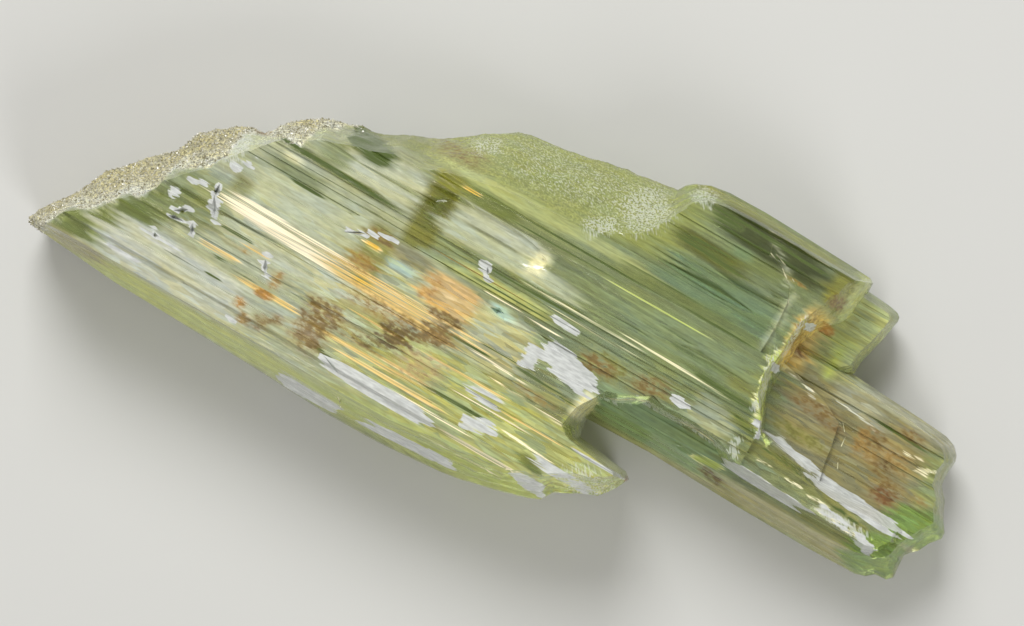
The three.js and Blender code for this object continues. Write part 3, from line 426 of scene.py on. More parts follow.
# The photo's view: its width in pixels, a pixel's size at the crystal, and its middle on the drawing
PHOTO_WIDTH = 1024
PIXEL = 0.05 * MM
PHOTO_CENTRE = (-0.455, -0.78)
PHOTO_TURN = 30.0  # how far the photo shows the crystal turned, in degrees
LENS = 200.0  # a long lens, in millimetres
SENSOR = 36.0
FOCUS_HEIGHT = 3.0  # height of the outline above the floor, in millimetres
FLOOR_HALF = 0.6
FLOOR_GAP = 0.1 * MM
MOST_BOUNCES = 6  # enough for light to leave the crystal again
MOST_INNER_BOUNCES = 5

# Soft boxes: place and size in metres, power in watts, colour
SOFT_BOXES = {
    "key_softbox": ((-0.20, 0.24, 0.30), (0.2, 0.2), 1.6, (1.0, 1.0, 1.0)),
    "fill_softbox": ((0.28, -0.22, 0.28), (0.2, 0.2), 0.7, (1.0, 1.0, 1.0)),
    "streak_strip": ((-0.021, -0.116, 0.33), (0.03, 0.012), 0.008, (1.0, 0.93, 0.8)),
}
WORLD_COLOUR = (1.0, 0.98, 0.93, 1.0)
WORLD_STRENGTH = 0.4


def length_property(name, description, default, least):
    """A length, given in millimetres."""
    return FloatProperty(
        name=name, description=description, default=default * MM, min=least * MM,
        subtype="DISTANCE", unit="LENGTH", precision=6,
    )


def density_property(name, description, default):
    """A number of things on a square metre."""
    return FloatProperty(name=name, description=description, default=default, min=0.0)


def colour_property(name, description, default):
    """A colour."""
    return FloatVectorProperty(
        name=name, description=description, default=default, subtype="COLOR", size=3, min=0.0, max=1.0,
    )


class CrystalSizes(bpy.types.PropertyGroup):
    """Sizes of the crystal's surface."""

    strip: length_property("Strip", "Width of the strips that the faces are cut into", 0.14, 0.05)
    stretch: length_property("Stretch", "Length of the pieces of each strip", 0.5, 0.1)
    grain: length_property("Grain", "Size of the etched grain", 0.12, 0.05)
    striation_depth: length_property("Striation depth", "How far striations rise and fall", 0.03, 0.0)
    grain_depth: length_property("Grain depth", "How far the grain rises and falls", 0.07, 0.0)


class InclusionSizes(bpy.types.PropertyGroup):
    """Amounts and sizes of what lies inside the crystal."""

    tubes: IntProperty(name="Growth tubes", description="Number of fine lengthwise tubes", default=150, min=0)
    tube_width: length_property("Tube width", "Thickness of a growth tube", 0.035, 0.005)
    film_depth: length_property("Film depth", "How far films lie under the upper faces", 1.5, 0.1)
    flake_size: length_property("Flake size", "Size of a rust flake", 0.1, 0.01)
    flake_density: density_property("Flake density", "Rust flakes on a square metre of film", 9.0e6)
    grain_density: density_property("Grain density", "Grains on a square metre of etched face", 2.4e7)


class CrystalColours(bpy.types.PropertyGroup):
    """Colours of the crystal."""

    body: colour_property("Body", "Colour of the clear faces between the patches", linear(176, 184, 132))
    depth: colour_property("Depth", "Colour that light keeps inside the crystal", (0.55, 0.72, 0.1))
    floor: colour_property("Floor", "Colour of the floor", linear(205, 205, 202))


def settings():
    """The three groups of settings."""
    scene = bpy.context.scene
    return scene.hiddenite_sizes, scene.hiddenite_inclusions, scene.hiddenite_colours


# Nodes of materials and shape trees
def connect(tree, value, socket):
    """Links a value to a socket, or sets the socket where the value is plain."""
    if isinstance(value, bpy.types.NodeSocket):
        tree.links.new(value, socket)
    else:
        socket.default_value = value


def add(tree, kind, output, inputs, **options):
    """Adds a node and returns one of its outputs. Its inputs are links or plain values, by name or number."""
    node = tree.nodes.new(kind)
    for name, value in options.items():
        setattr(node, name, value)
    for name, value in inputs.items():
        connect(tree, value, node.inputs[name])
    return node.outputs[output]


def calculate(tree, operation, *values):
    """One Math node."""
    return add(tree, "ShaderNodeMath", "Value", dict(enumerate(values)), operation=operation)


def vectors(tree, operation, *values):
    """One Vector Math node."""
    return add(tree, "ShaderNodeVectorMath", "Vector", dict(enumerate(values)), operation=operation)


def product(tree, first, *others):
    """The product of numbers."""
    for other in others:
        first = calculate(tree, "MULTIPLY", first, other)
    return first


def stretched(tree, kind, output, along, across, shift=0.0, turn=0.0, **inputs):
    """A texture whose cells are along by across millimetres, drawn out along the crystal or turned."""
    point = add(tree, "ShaderNodeTexCoord", "Object", {})
    turned = {"Vector": point, "Rotation": (0.0, 0.0, math.radians(turn))}
    scale = (1 / (along * MM), 1 / (across * MM), 1 / (across * MM))
    point = add(tree, "ShaderNodeMapping", "Vector", turned)
    scaled = {"Vector": point, "Scale": scale, "Location": (shift,) * 3}
    cells = add(tree, "ShaderNodeMapping", "Vector", scaled)
    return add(tree, kind, output, {"Vector": cells, "Scale": 1.0, **inputs})


def stretched_noise(tree, along, across, detail=3.0, shift=0.0, turn=0.0):
    """Noise, about 0.3 to 0.7, whose cells are along by across millimetres."""
    return stretched(tree, "ShaderNodeTexNoise", "Fac", along, across, shift, turn, Detail=detail)


def slivers(tree, along, across, shift=0.0):
    """Long pointed cells, each with a random colour of its own."""
    return stretched(tree, "ShaderNodeTexVoronoi", "Color", along, across, shift)


def part_of(tree, colour, name):
    """One channel of a colour."""
    return add(tree, "ShaderNodeSeparateColor", name, {"Color": colour})


def ramp(tree, value, low, high, start, end):
    """start where value is low, end where it is high, as colours."""
    result = add(tree, "ShaderNodeValToRGB", "Color", {"Fac": value})
    first, last = result.node.color_ramp.elements
    first.position, last.position = low, high
    first.color, last.color = (*start, 1.0), (*end, 1.0)
    return result


def ranged(tree, value, low, high, start, end, kind="LINEAR"):
    """start where value is low, end where it is high, as a number."""
    inputs = {"Value": value, "From Min": low, "From Max": high, "To Min": start, "To Max": end}
    return add(tree, "ShaderNodeMapRange", "Result", inputs, interpolation_type=kind)


def as_colour(value):
    """A plain number or colour as a colour with alpha. A link stays as it is."""
    if isinstance(value, bpy.types.NodeSocket):
        return value
    return (value, value, value, 1.0) if isinstance(value, float) else (*value, 1.0)


def mixed(tree, share, a, b, blend="MIX"):
    """One Mix node for colours. Everything is a link or a plain value."""
    inputs = {0: share, 6: as_colour(a), 7: as_colour(b)}
    return add(tree, "ShaderNodeMix", 2, inputs, data_type="RGBA", blend_type=blend)


def tinted(tree, colour, tint, share=1.0):
    """A colour multiplied by a tint."""
    return mixed(tree, share, colour, tint, "MULTIPLY")


def attribute(tree, name, output="Fac"):
    """A value stored on the mesh, for a material."""
    return add(tree, "ShaderNodeAttribute", output, {}, attribute_name=name)


def laid_over(tree, under, amount, texture, reach, softness, tone, cloudy, most=1.0):
    """Lays a tone over a colour and its cloudiness, where amount, frayed by a texture, passes a half."""
    frayed = product(tree, calculate(tree, "MULTIPLY_ADD", texture, reach, 1 - reach / 2), amount)
    share = ranged(tree, frayed, 0.5 - softness, 0.5 + softness, 0.0, most, "SMOOTHSTEP")
    colour, cloud = under
    return mixed(tree, share, colour, tone), mixed(tree, share, cloud, cloudy)


def tilted(tree, cells, along, across):
    """The surface's normal, tilted at random in each cell."""
    normal = add(tree, "ShaderNodeNewGeometry", "Normal", {})
    centred = vectors(tree, "SUBTRACT", cells, (0.5, 0.5, 0.5))
    return vectors(tree, "NORMALIZE", vectors(tree, "MULTIPLY_ADD", centred, (along, across, 0.0), normal))


def new_material(name):
    """A material and its tree, with one Principled shader."""
    material = bpy.data.materials.new(name)
    material.use_nodes = True
    return material, material.node_tree


def dressed(material, inputs):
    """The material, with inputs of its shader linked or set."""
    tree = material.node_tree
    for name, value in inputs.items():
        connect(tree, value, tree.nodes["Principled BSDF"].inputs[name])
    return material


# Materials
REFRACTION = 1.66  # spodumene's refractive index
CLEAR_ROUGHNESS = 0.035
FROST_ROUGHNESS = 0.42
ABSORPTION = 26.0  # per metre of path
BUMP = 0.012 * MM
GRAIN_BUMP = 4.0  # the etched grain's bump is this many times the striations'
TILTS = (0.03, 0.11)  # how far the cells tilt the surface's normal, along the crystal and across it
BLACK = (0.0,) * 3
WHITE = (1.0,) * 3

# Cells of the crystal's textures: along it and across it in millimetres, then detail, shift, turn in degrees
LINES = (5.0, 0.08, 2.0, 9.0)
CRINKLES = (0.6, 0.12, 2.0, 6.0)
DRIFT = (3.0, 0.7, 1.0, 12.0)
FEATHERS = (0.35, 0.18, 3.0, 2.0)
GRAIN = (0.12, 0.12, 1.0)
HAIRS = (0.4, 0.09, 1.0, 0.0, 50)

# How the textures shade the crystal: from, to, and the factor at each
CELL_SHADE = (0.0, 1.0, 0.84, 1.1)
THIN_CELL_SHADE = (0.0, 0.3, 0.8, 1.0)
LINE_SHADE = (0.34, 0.6, 0.84, 1.05)
CLOUD_CALM = (0.3, 0.65, 0.0, 0.85)
GRAIN_SHADE = (0.34, 0.66, 0.45, 1.2)
HAIR_SHADE = (0.35, 0.65, -0.25, 0.25)
CRINKLE_SHADE = (0.35, 0.65, 0.88, 1.1)
HIGHLIGHT_CRINKLES = (0.35, 0.65, 0.78, 1.08)
SPARK = (0.0, 1.0, 0.68, 1.3)
RUST_SHADE = (0.3, 0.7, 1.45, 0.65)
SHINE = (0.4, 0.62, 0.75, 1.3)
WARMTH = (0.35, 0.65, (0.97, 0.99, 1.05), (1.03, 1.01, 0.86))
FACET_HUE = (0.2, 0.8, (1.08, 0.98, 0.66), (0.96, 1.02, 1.12))


def crystal_shade(tree, cells, lines, crinkles, etched, cloud):
    """The light and dark of the striations, the etched grain and the crinkles."""
    hairs = stretched_noise(tree, *HAIRS)
    grain = stretched_noise(tree, *GRAIN)
    cell_shade = ranged(tree, part_of(tree, cells, "Red"), *CELL_SHADE)
    thin_shade = ranged(tree, part_of(tree, cells, "Blue"), *THIN_CELL_SHADE)
    shade = product(tree, cell_shade, thin_shade, ranged(tree, lines, *LINE_SHADE))
    shade = mixed(tree, ranged(tree, cloud, *CLOUD_CALM), shade, 1.0)
    frost = calculate(tree, "ADD", ranged(tree, grain, *GRAIN_SHADE), ranged(tree, hairs, *HAIR_SHADE))
    shade = mixed(tree, ranged(tree, etched, 0.0, 0.35, 0.0, 1.0), shade, mixed(tree, etched, 1.0, frost))
    height = calculate(tree, "ADD", lines, product(tree, grain, etched, GRAIN_BUMP))
    return product(tree, shade, ranged(tree, crinkles, *CRINKLE_SHADE)), height, hairs


def crystal_material():
    """Clear pale green crystal with its figure of patches, golden streaks, stains, painted shade, painted
    facet light, and painted reflections and glints.
    """
    _, _, colours = settings()
    material, tree = new_material("hiddenite")
    etched = attribute(tree, "etched")
    cloud = attribute(tree, "cloudy")
    cells = slivers(tree, 4.0, 0.14)
    facets = slivers(tree, 1.1, 0.17, shift=5.0)
    lines, crinkles, drift, feathers = [stretched_noise(tree, *t) for t in (LINES, CRINKLES, DRIFT, FEATHERS)]
    shade, height, hairs = crystal_shade(tree, cells, lines, crinkles, etched, cloud)
    tint = tinted(tree, attribute(tree, "figure", "Color"), ramp(tree, drift, *WARMTH))
    # painted light and shade of small inner facets: each random cell gets its own brightness and tint
    hue = ramp(tree, part_of(tree, facets, "Green"), *FACET_HUE)
    painted_facet_light = tinted(tree, hue, ranged(tree, part_of(tree, facets, "Red"), *SPARK))
    look = tinted(tree, tinted(tree, tint, painted_facet_light, attribute(tree, "lively")), shade), cloud
    rust = tinted(tree, attribute(tree, "stain_tone", "Color"), ranged(tree, feathers, *RUST_SHADE))
    # the golden streaks' tone, painted brighter and darker along the striation lines as painted shine
    shine = tinted(tree, attribute(tree, "gold_tone", "Color"), ranged(tree, lines, *SHINE))
    # the white of the painted reflections, crinkled
    painted_highlight = tinted(tree, HIGHLIGHT_WHITE, ranged(tree, crinkles, *HIGHLIGHT_CRINKLES))
    thin = part_of(tree, cells, "Green")
    # A mark, the texture that frays it, its reach and softness, then tone, cloudiness and most cover: painted
    # shade lines, golden streaks with painted glints, iron stains, painted reflections and painted glints
    for name, *lay in (
        ("dark", lines, 3.0, 0.25, DARK_GREEN, 0.7),
        ("gold", lines, 5.0, 0.3, shine, 0.85),
        ("stain", feathers, 3.2, 0.5, rust, 0.75, 0.92),
        ("bright", thin, 0.8, 0.1, painted_highlight, 0.88),
        ("glitter", hairs, 6.0, 0.3, HIGHLIGHT_WHITE, 0.9, 0.6),
    ):
        look = laid_over(tree, look, attribute(tree, name), *lay)
    colour, cloud = look
    bump = {"Height": height, "Distance": BUMP, "Normal": tilted(tree, cells, *TILTS)}
    absorbed = {"Color": (*colours.depth, 1.0), "Density": ABSORPTION}
    volume = add(tree, "ShaderNodeVolumeAbsorption", "Volume", absorbed)
    tree.links.new(volume, tree.nodes["Material Output"].inputs["Volume"])
    return dressed(material, {
        "Base Color": colour,
        "Transmission Weight": calculate(tree, "SUBTRACT", 1.0, cloud),
        "IOR": REFRACTION,
        "Roughness": ranged(tree, etched, 0.0, 1.0, CLEAR_ROUGHNESS, FROST_ROUGHNESS),
        "Normal": add(tree, "ShaderNodeBump", "Normal", bump),
    })


def grain_material():
    """Frosted grains of the etched faces, silvery to beige."""
    material, tree = new_material("etched_grain")
    colour = ramp(tree, stretched_noise(tree, 0.22, 0.22, detail=2.0), 0.38, 0.62, TAUPE, SUGAR)
    look = {"Base Color": colour, "Roughness": 0.2, "IOR": REFRACTION, "Transmission Weight": 0.3}
    return dressed(material, look)


def film_material(name, roughness, along, across, low, high):
    """A thin film inside the crystal: its colour and cover are stored on the mesh, and noise frays it."""
    material, tree = new_material(name)
    frayed = stretched_noise(tree, along, across, detail=5.0, shift=2.0)
    cover = ramp(tree, product(tree, frayed, attribute(tree, "cover")), low, high, BLACK, WHITE)
    colour = tinted(tree, attribute(tree, "tone", "Color"), ramp(tree, frayed, 0.35, 0.65, (0.7,) * 3, WHITE))
    return dressed(material, {"Base Color": colour, "Roughness": roughness, "Alpha": cover})


def rust_material():
    """Solid rust flakes, from amber to dark brown."""
    material, tree = new_material("rust")
    colour = ramp(tree, stretched_noise(tree, 0.9, 0.9, detail=4.0), 0.36, 0.62, UMBER, ORANGE)
    return dressed(material, {"Base Color": colour, "Roughness": 0.6})


def thread_material(name, tone):
    """Fine tubes, streaks and cracks that catch the light, broken here and there."""
    material, tree = new_material(name)
    shade = stretched_noise(tree, 2.5, 0.4, detail=3.0, shift=4.0)
    colour = ramp(tree, shade, 0.38, 0.6, [c * 0.45 for c in tone], tone)
    cover = ramp(tree, shade, 0.36, 0.5, BLACK, (0.9,) * 3)
    return dressed(material, {"Base Color": colour, "Roughness": 0.3, "Alpha": cover})


# Meshes
SLIVER = 1e-7  # points nearer than this are one


def in_scene(name, data):
    """A new object in the scene."""
    item = bpy.data.objects.new(name, data)
    bpy.context.scene.collection.objects.link(item)
    return item


def new_piece(name, mesh):
    """An object of the crystal, riding on its body."""
    piece = in_scene(name, mesh)
    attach(piece, BODY)
    return piece


def store(mesh, name, values):
    """Stores one number or one colour for each point of a mesh."""
    values = numpy.asarray(values, dtype=numpy.float32)
    if values.ndim == 1:
        mesh.attributes.new(name, "FLOAT", "POINT").data.foreach_set("value", values)
    else:
        filled = numpy.column_stack((values, numpy.ones(len(values), dtype=numpy.float32)))
        mesh.attributes.new(name, "FLOAT_COLOR", "POINT").data.foreach_set("color", filled.ravel())


def cut_strips(bm, faces, axis, places):
    """Cuts faces at each place along an axis, halving the stack of places each time. Returns the faces."""
    if not places or not faces:
        return faces
    half = len(places) // 2
    level = places[half]
    below, above, across = [], [], []
    for face in faces:
        reach = [v.co[axis] for v in face.verts]
        side = below if max(reach) < level + SLIVER else above if min(reach) > level - SLIVER else across
        side.append(face)
    if across:
        normal = Vector((0, 0, 0))
        normal[axis] = 1
        edges = {e for f in across for e in f.edges}
        corners = {v for f in across for v in f.verts}
        cut = bmesh.ops.bisect_plane(
            bm, geom=[*across, *edges, *corners], dist=SLIVER, plane_co=normal * level, plane_no=normal
        )
        for piece in cut["geom"]:
            if isinstance(piece, bmesh.types.BMFace):
                side = below if piece.calc_center_median()[axis] < level else above
                side.append(piece)
    return cut_strips(bm, below, axis, places[:half]) + cut_strips(bm, above, axis, places[half + 1:])


def rows(axis, step):
    """Places along an axis of the crystal, step apart."""
    low, high = LOW[axis], HIGH[axis]
    return [low + step * n for n in range(1, int((high - low) / step) + 1)]


def beyond_line(x, y):
    """How far places lie beyond the etched faces' inner line, in millimetres."""
    line_x, line_y = zip(*ETCHED_LINE)
    return y - numpy.interp(x, line_x, line_y, right=FAR)


def etched_at(x, y, z):
    """How frosted the crystal is at each place, from 0 to 1."""
    ragged = RAGGED * noises(x * RAGS, y * RAGS, x * 0)
    strength = 1.0 - (1.0 - SLOPE) * smooth(SUGAR_ENDS_AT, SUGAR_ENDS_AT + SUGAR_FADE, x)
    return smooth(*ETCH_EDGE, beyond_line(x, y) + ragged) * strength * (z > UNDERSIDE)


def marked(places, mark):
    """How much of a mark each place has, from 0 to 1, with ends frayed along the striations."""
    x, y, above, jag = places
    mark_x, mark_y, half_length, half_width, turn, edge = mark[:6]
    angle = math.radians(turn)
    dx = x + jag * min(JAG, MOST_JAG * half_length) - mark_x
    dy = y - mark_y
    u = numpy.abs(dx * math.cos(angle) + dy * math.sin(angle)) / half_length
    v = numpy.abs(dy * math.cos(angle) - dx * math.sin(angle)) / half_width
    return above * (1 - smooth(1 - edge, 1 + edge, (u ** 4 + v ** 4) ** 0.25))


def strongest(places, marks):
    """The strongest of the marks at each place, each with its strength last."""
    return numpy.max([mark[-1] * marked(places, mark) for mark in marks], axis=0)


def blended_tone(places, marks):
    """The tones of the marks at each place, each with its tone seventh."""
    tones = numpy.tile(numpy.array(marks[0][6]), (len(places[0]), 1))
    for mark in marks:
        tones += (numpy.array(mark[6]) - tones) * numpy.minimum(1.0, 2 * marked(places, mark))[:, None]
    return tones


def surface_tint(tones, cloudy):
    """The surface colours that look like the tones, where a cloudy share is lit and the rest is clear."""
    lit = CLOUDY_LIGHT * cloudy[:, None]
    through = CLEAR_LIGHT * (1 - cloudy[:, None])
    seen = numpy.maximum(DEEPEST, tones - GLOSS)
    return numpy.minimum(PALEST, (numpy.sqrt(lit ** 2 + 4 * through * seen) - lit) / (2 * through))


def store_figure(mesh):
    """Stores the colours, clouds and marks of the crystal on its surface."""
    _, _, colours = settings()
    x, y, z = drawn([v.co for v in mesh.vertices])
    places = x, y, smooth(*MARK_HEIGHTS, z), noises(x * 0.12, y * 5.5, z * 0)
    etched = etched_at(x, y, z)
    tones = numpy.tile(numpy.array(colours.body[:]), (len(x), 1))
    cloudy = CLOUDY_BETWEEN * places[2]
    for patch in PATCHES:
        tone, strength, cloud = patch[6:]
        share = strength * marked(places, patch)
        tones += (numpy.array(tone) - tones) * share[:, None]
        cloudy += (cloud - cloudy) * share
    sugar = etched * smooth(SUGAR_ENDS_AT + SUGAR_FADE, SUGAR_ENDS_AT, x)
    # the frost is painted lighter from its rim to its crest: painted light on the etched relief over the
    # frost's beige
    crest = smooth(*CREST, beyond_line(x, y))[:, None]
    frost = numpy.array(SUGAR_RIM) * (1 - crest) + numpy.array(SUGAR_CREST) * crest
    tones += (frost - tones) * sugar[:, None]
    cloudy += (SUGAR_CLOUD - cloudy) * sugar
    store(mesh, "etched", etched)
    store(mesh, "cloudy", cloudy)
    store(mesh, "figure", surface_tint(tones, cloudy))
    for name, marks in MARKS.items():
        store(mesh, name, strongest(places, marks))
    for name in ("gold", "stain"):
        store(mesh, name + "_tone", blended_tone(places, MARKS[name]))


def striation_at(x, y, z):
    """Height of the fine striations, about -1 to 1: long along x, short across it."""
    height = 0.0
    for along, across, shift, share in STRIATIONS:
        height += share * noises(x * along, y * across, z * across + shift)
    lively = smooth(*CALM, noises(x * 0.12, y * 0.3, x * 0 + 11.0))
    return height * (LEAST + (1.0 - LEAST) * lively)


def grain_at(x, y, z, size):
    """Height of the etched grain, about -1 to 1."""
    x, y, z = x / size, y / size, z / size
    return noises(x, y, z) + 0.5 * noises(x * FINER, y * FINER, z * FINER)


def cut_body(bm, sizes):
    """Cuts the solid's faces into fine strips, with shorter pieces where they are etched."""
    under = [f for f in bm.faces if f.normal.z < FACING_DOWN]
    upper = [f for f in bm.faces if f.normal.z >= FACING_DOWN]
    under = cut_strips(bm, under, 1, rows(1, sizes.strip * COARSE))
    cut_strips(bm, under, 0, rows(0, sizes.stretch * COARSE))
    upper = cut_strips(bm, [f for f in upper if f.is_valid], 1, rows(1, sizes.strip))
    steep = [f for f in upper if abs(f.normal.z) < STEEP]
    flat = [f for f in upper if abs(f.normal.z) >= STEEP]
    upper = flat + cut_strips(bm, steep, 2, rows(2, sizes.strip * 2))
    upper = cut_strips(bm, upper, 0, rows(0, sizes.stretch))
    etched = etched_at(*drawn([f.calc_center_median() for f in upper]))
    frosted = [f for f, share in zip(upper, etched) if share > SHORTENED]
    cut_strips(bm, frosted, 0, rows(0, sizes.stretch / 2.5))


def roughen(bm, sizes):
    """Moves the points along their normals by striations and grain. The underside stays level."""
    bm.normal_update()
    x, y, z = drawn([v.co for v in bm.verts])
    etched = etched_at(x, y, z)
    rise = (1 - etched) * sizes.striation_depth * striation_at(x, y, z)
    rise += etched * sizes.grain_depth * grain_at(x, y, z, sizes.grain / MM)
    moves = [v.normal * step for v, step in zip(bm.verts, rise)]
    for v, move in zip(bm.verts, moves):
        if v.co.z > SLIVER:
            v.co += move
            v.co.z = max(LOW.z, v.co.z)


def crystal_mesh():
    """The whole crystal's fine surface, as one closed mesh."""
    sizes, _, _ = settings()
    bm = bmesh.new()
    bm.from_mesh(SOLID)
    bmesh.ops.remove_doubles(bm, verts=bm.verts, dist=SLIVER)
    bm.normal_update()
    cut_body(bm, sizes)
    roughen(bm, sizes)
    bmesh.ops.triangulate(bm, faces=bm.faces)
    mesh = bpy.data.meshes.new("crystal_body")
    bm.to_mesh(mesh)
    bm.free()
    store_figure(mesh)
    mesh.shade_smooth()
    mesh.set_sharp_from_angle(angle=SHARP)
    return mesh


class HIDDENITE_OT_crystal_body(bpy.types.Operator):
    """Builds the clear crystal with its striated and etched faces"""

    bl_idname = "hiddenite.crystal_body"
    bl_label = "Crystal body"

    def execute(self, context):
        mesh = crystal_mesh()
        mesh.materials.clear()
        mesh.materials.append(crystal_material())
        piece = new_piece("crystal_body", mesh)
        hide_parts(NODE)
        return {"FINISHED"}


# Geometry Nodes
def node_tree(name, values):
    """A tree with a geometry input and output and a named input for each value."""
    tree = bpy.data.node_groups.new(name, "GeometryNodeTree")
    tree.interface.new_socket("Geometry", in_out="INPUT", socket_type="NodeSocketGeometry")
    for label, value in values.items():
        kind = "NodeSocketInt" if isinstance(value, int) else "NodeSocketFloat"
        tree.interface.new_socket(label, in_out="INPUT", socket_type=kind).default_value = value
    tree.interface.new_socket("Geometry", in_out="OUTPUT", socket_type="NodeSocketGeometry")
    return tree, tree.nodes.new("NodeGroupInput").outputs, tree.nodes.new("NodeGroupOutput")


def end_tree(tree, geometry, output, material):
    """Ends a tree in Realize Instances and Set Material."""
    real = add(tree, "GeometryNodeRealizeInstances", "Geometry", {"Geometry": geometry})
    paint = {"Geometry": real, "Material": material}
    tree.links.new(add(tree, "GeometryNodeSetMaterial", "Geometry", paint), output.inputs["Geometry"])
    return tree


def on_mesh(tree, name):
    """A value stored on the mesh, for a shape tree."""
    return add(tree, "GeometryNodeInputNamedAttribute", "Attribute", {"Name": name}, data_type="FLOAT")


def any_vector(tree, low, high, seed):
    """A random vector for each point."""
    between = {"Min": low, "Max": high, "Seed": seed}
    return add(tree, "FunctionNodeRandomValue", "Value", between, data_type="FLOAT_VECTOR")


def scatter_tree(name, material, values, flatness, upright):
    """Small grains scattered over the faces that it is given, more where their cover is higher."""
    tree, given, output = node_tree(name, values)
    seed = given["Seed"]
    density = product(tree, given["Density"], on_mesh(tree, "cover"))
    spread = {"Mesh": given["Geometry"], "Density": density, "Seed": seed}
    points = add(tree, "GeometryNodeDistributePointsOnFaces", "Points", spread)
    if upright:
        cone = {"Vertices": 4, "Radius Bottom": 0.62, "Depth": 0.9}
        grain = add(tree, "GeometryNodeMeshCone", "Mesh", cone)
    else:
        grain = add(tree, "GeometryNodeMeshIcoSphere", "Mesh", {"Radius": 0.5, "Subdivisions": 1})
    turn = (LEAN, LEAN, math.pi) if upright else (math.pi,) * 3
    shape = any_vector(tree, *[(size, size, size * flatness) for size in GRAIN_SIZES], seed)
    turned = {
        "Rotation": points.node.outputs["Rotation"],
        "Rotate By": any_vector(tree, tuple(-t for t in turn), turn, seed),
    }
    sized = {0: shape, "Scale": given["Size"]}
    grains = add(tree, "GeometryNodeInstanceOnPoints", "Instances", {
        "Points": points,
        "Instance": grain,
        "Rotation": add(tree, "FunctionNodeRotateRotation", "Rotation", turned, rotation_space="LOCAL"),
        "Scale": add(tree, "ShaderNodeVectorMath", "Vector", sized, operation="SCALE"),
    })
    return end_tree(tree, grains, output, material)


def thread_tree(name, material, values):
    """Tubes along the edges that it is given, as thick at each point as its thickness says."""
    tree, given, output = node_tree(name, values)
    circle = {"Resolution": 6, "Radius": 0.5}
    tube = {
        "Curve": add(tree, "GeometryNodeMeshToCurve", "Curve", {"Mesh": given["Geometry"]}),
        "Profile Curve": add(tree, "GeometryNodeCurvePrimitiveCircle", "Curve", circle),
        "Scale": product(tree, on_mesh(tree, "thickness"), given["Width"]),
        "Fill Caps": True,
    }
    return end_tree(tree, add(tree, "GeometryNodeCurveToMesh", "Mesh", tube), output, material)


def grown(name, start, tree, values):
    """A piece grown from a starting mesh by a tree, made a plain mesh."""
    carrier = in_scene(name, start)
    modifier = carrier.modifiers.new("growth", "NODES")
    modifier.node_group = tree
    for item in tree.interface.items_tree:
        if item.in_out == "INPUT" and item.name in values:
            modifier[item.identifier] = values[item.name]
    graph = bpy.context.evaluated_depsgraph_get()
    mesh = bpy.data.meshes.new_from_object(carrier.evaluated_get(graph))
    bpy.data.objects.remove(carrier)
    if not mesh.polygons:
        raise RuntimeError(f"{name} came out empty")
    return new_piece(name, mesh)


def frosted_faces(source):
    """A copy of the frosted faces of a mesh, with how much of them the grains cover."""
    bm = bmesh.new()
    bm.from_mesh(source)
    etched = bm.verts.layers.float["etched"]
    spare = [f for f in bm.faces if min(v[etched] for v in f.verts) < FROSTED]
    bmesh.ops.delete(bm, geom=spare, context="FACES")
    covers = [v[etched] for v in bm.verts]
    mesh = bpy.data.meshes.new("frosted_faces")
    bm.to_mesh(mesh)
    bm.free()
    store(mesh, "cover", covers)
    return mesh


class HIDDENITE_OT_etched_grains(bpy.types.Operator):
    """Scatters sugary grains over the etched faces"""

    bl_idname = "hiddenite.etched_grains"
    bl_label = "Etched grains"

    def execute(self, context):
        sizes, inclusions, _ = settings()
        faces = frosted_faces(bpy.data.objects["crystal_body"].data)
        values = {"Size": sizes.grain, "Density": inclusions.grain_density, "Seed": GRAIN_SEED}
        tree = scatter_tree("sugary_grains", grain_material(), values, 0.8, True)
        grown("etched_grains", faces, tree, values)
        return {"FINISHED"}


def height_at(surface, x, y):
    """Height of the upper surface over a place, in millimetres, or None beside the crystal."""
    hit = surface.ray_cast(place(x, y, FAR), Vector((0, 0, -1)))[0]
    return hit.z / MM if hit else None


def upper_surface():
    """A search tree of the solid's surface."""
    return BVHTree.FromPolygons([v.co for v in SOLID.vertices], [p.vertices[:] for p in SOLID.polygons])


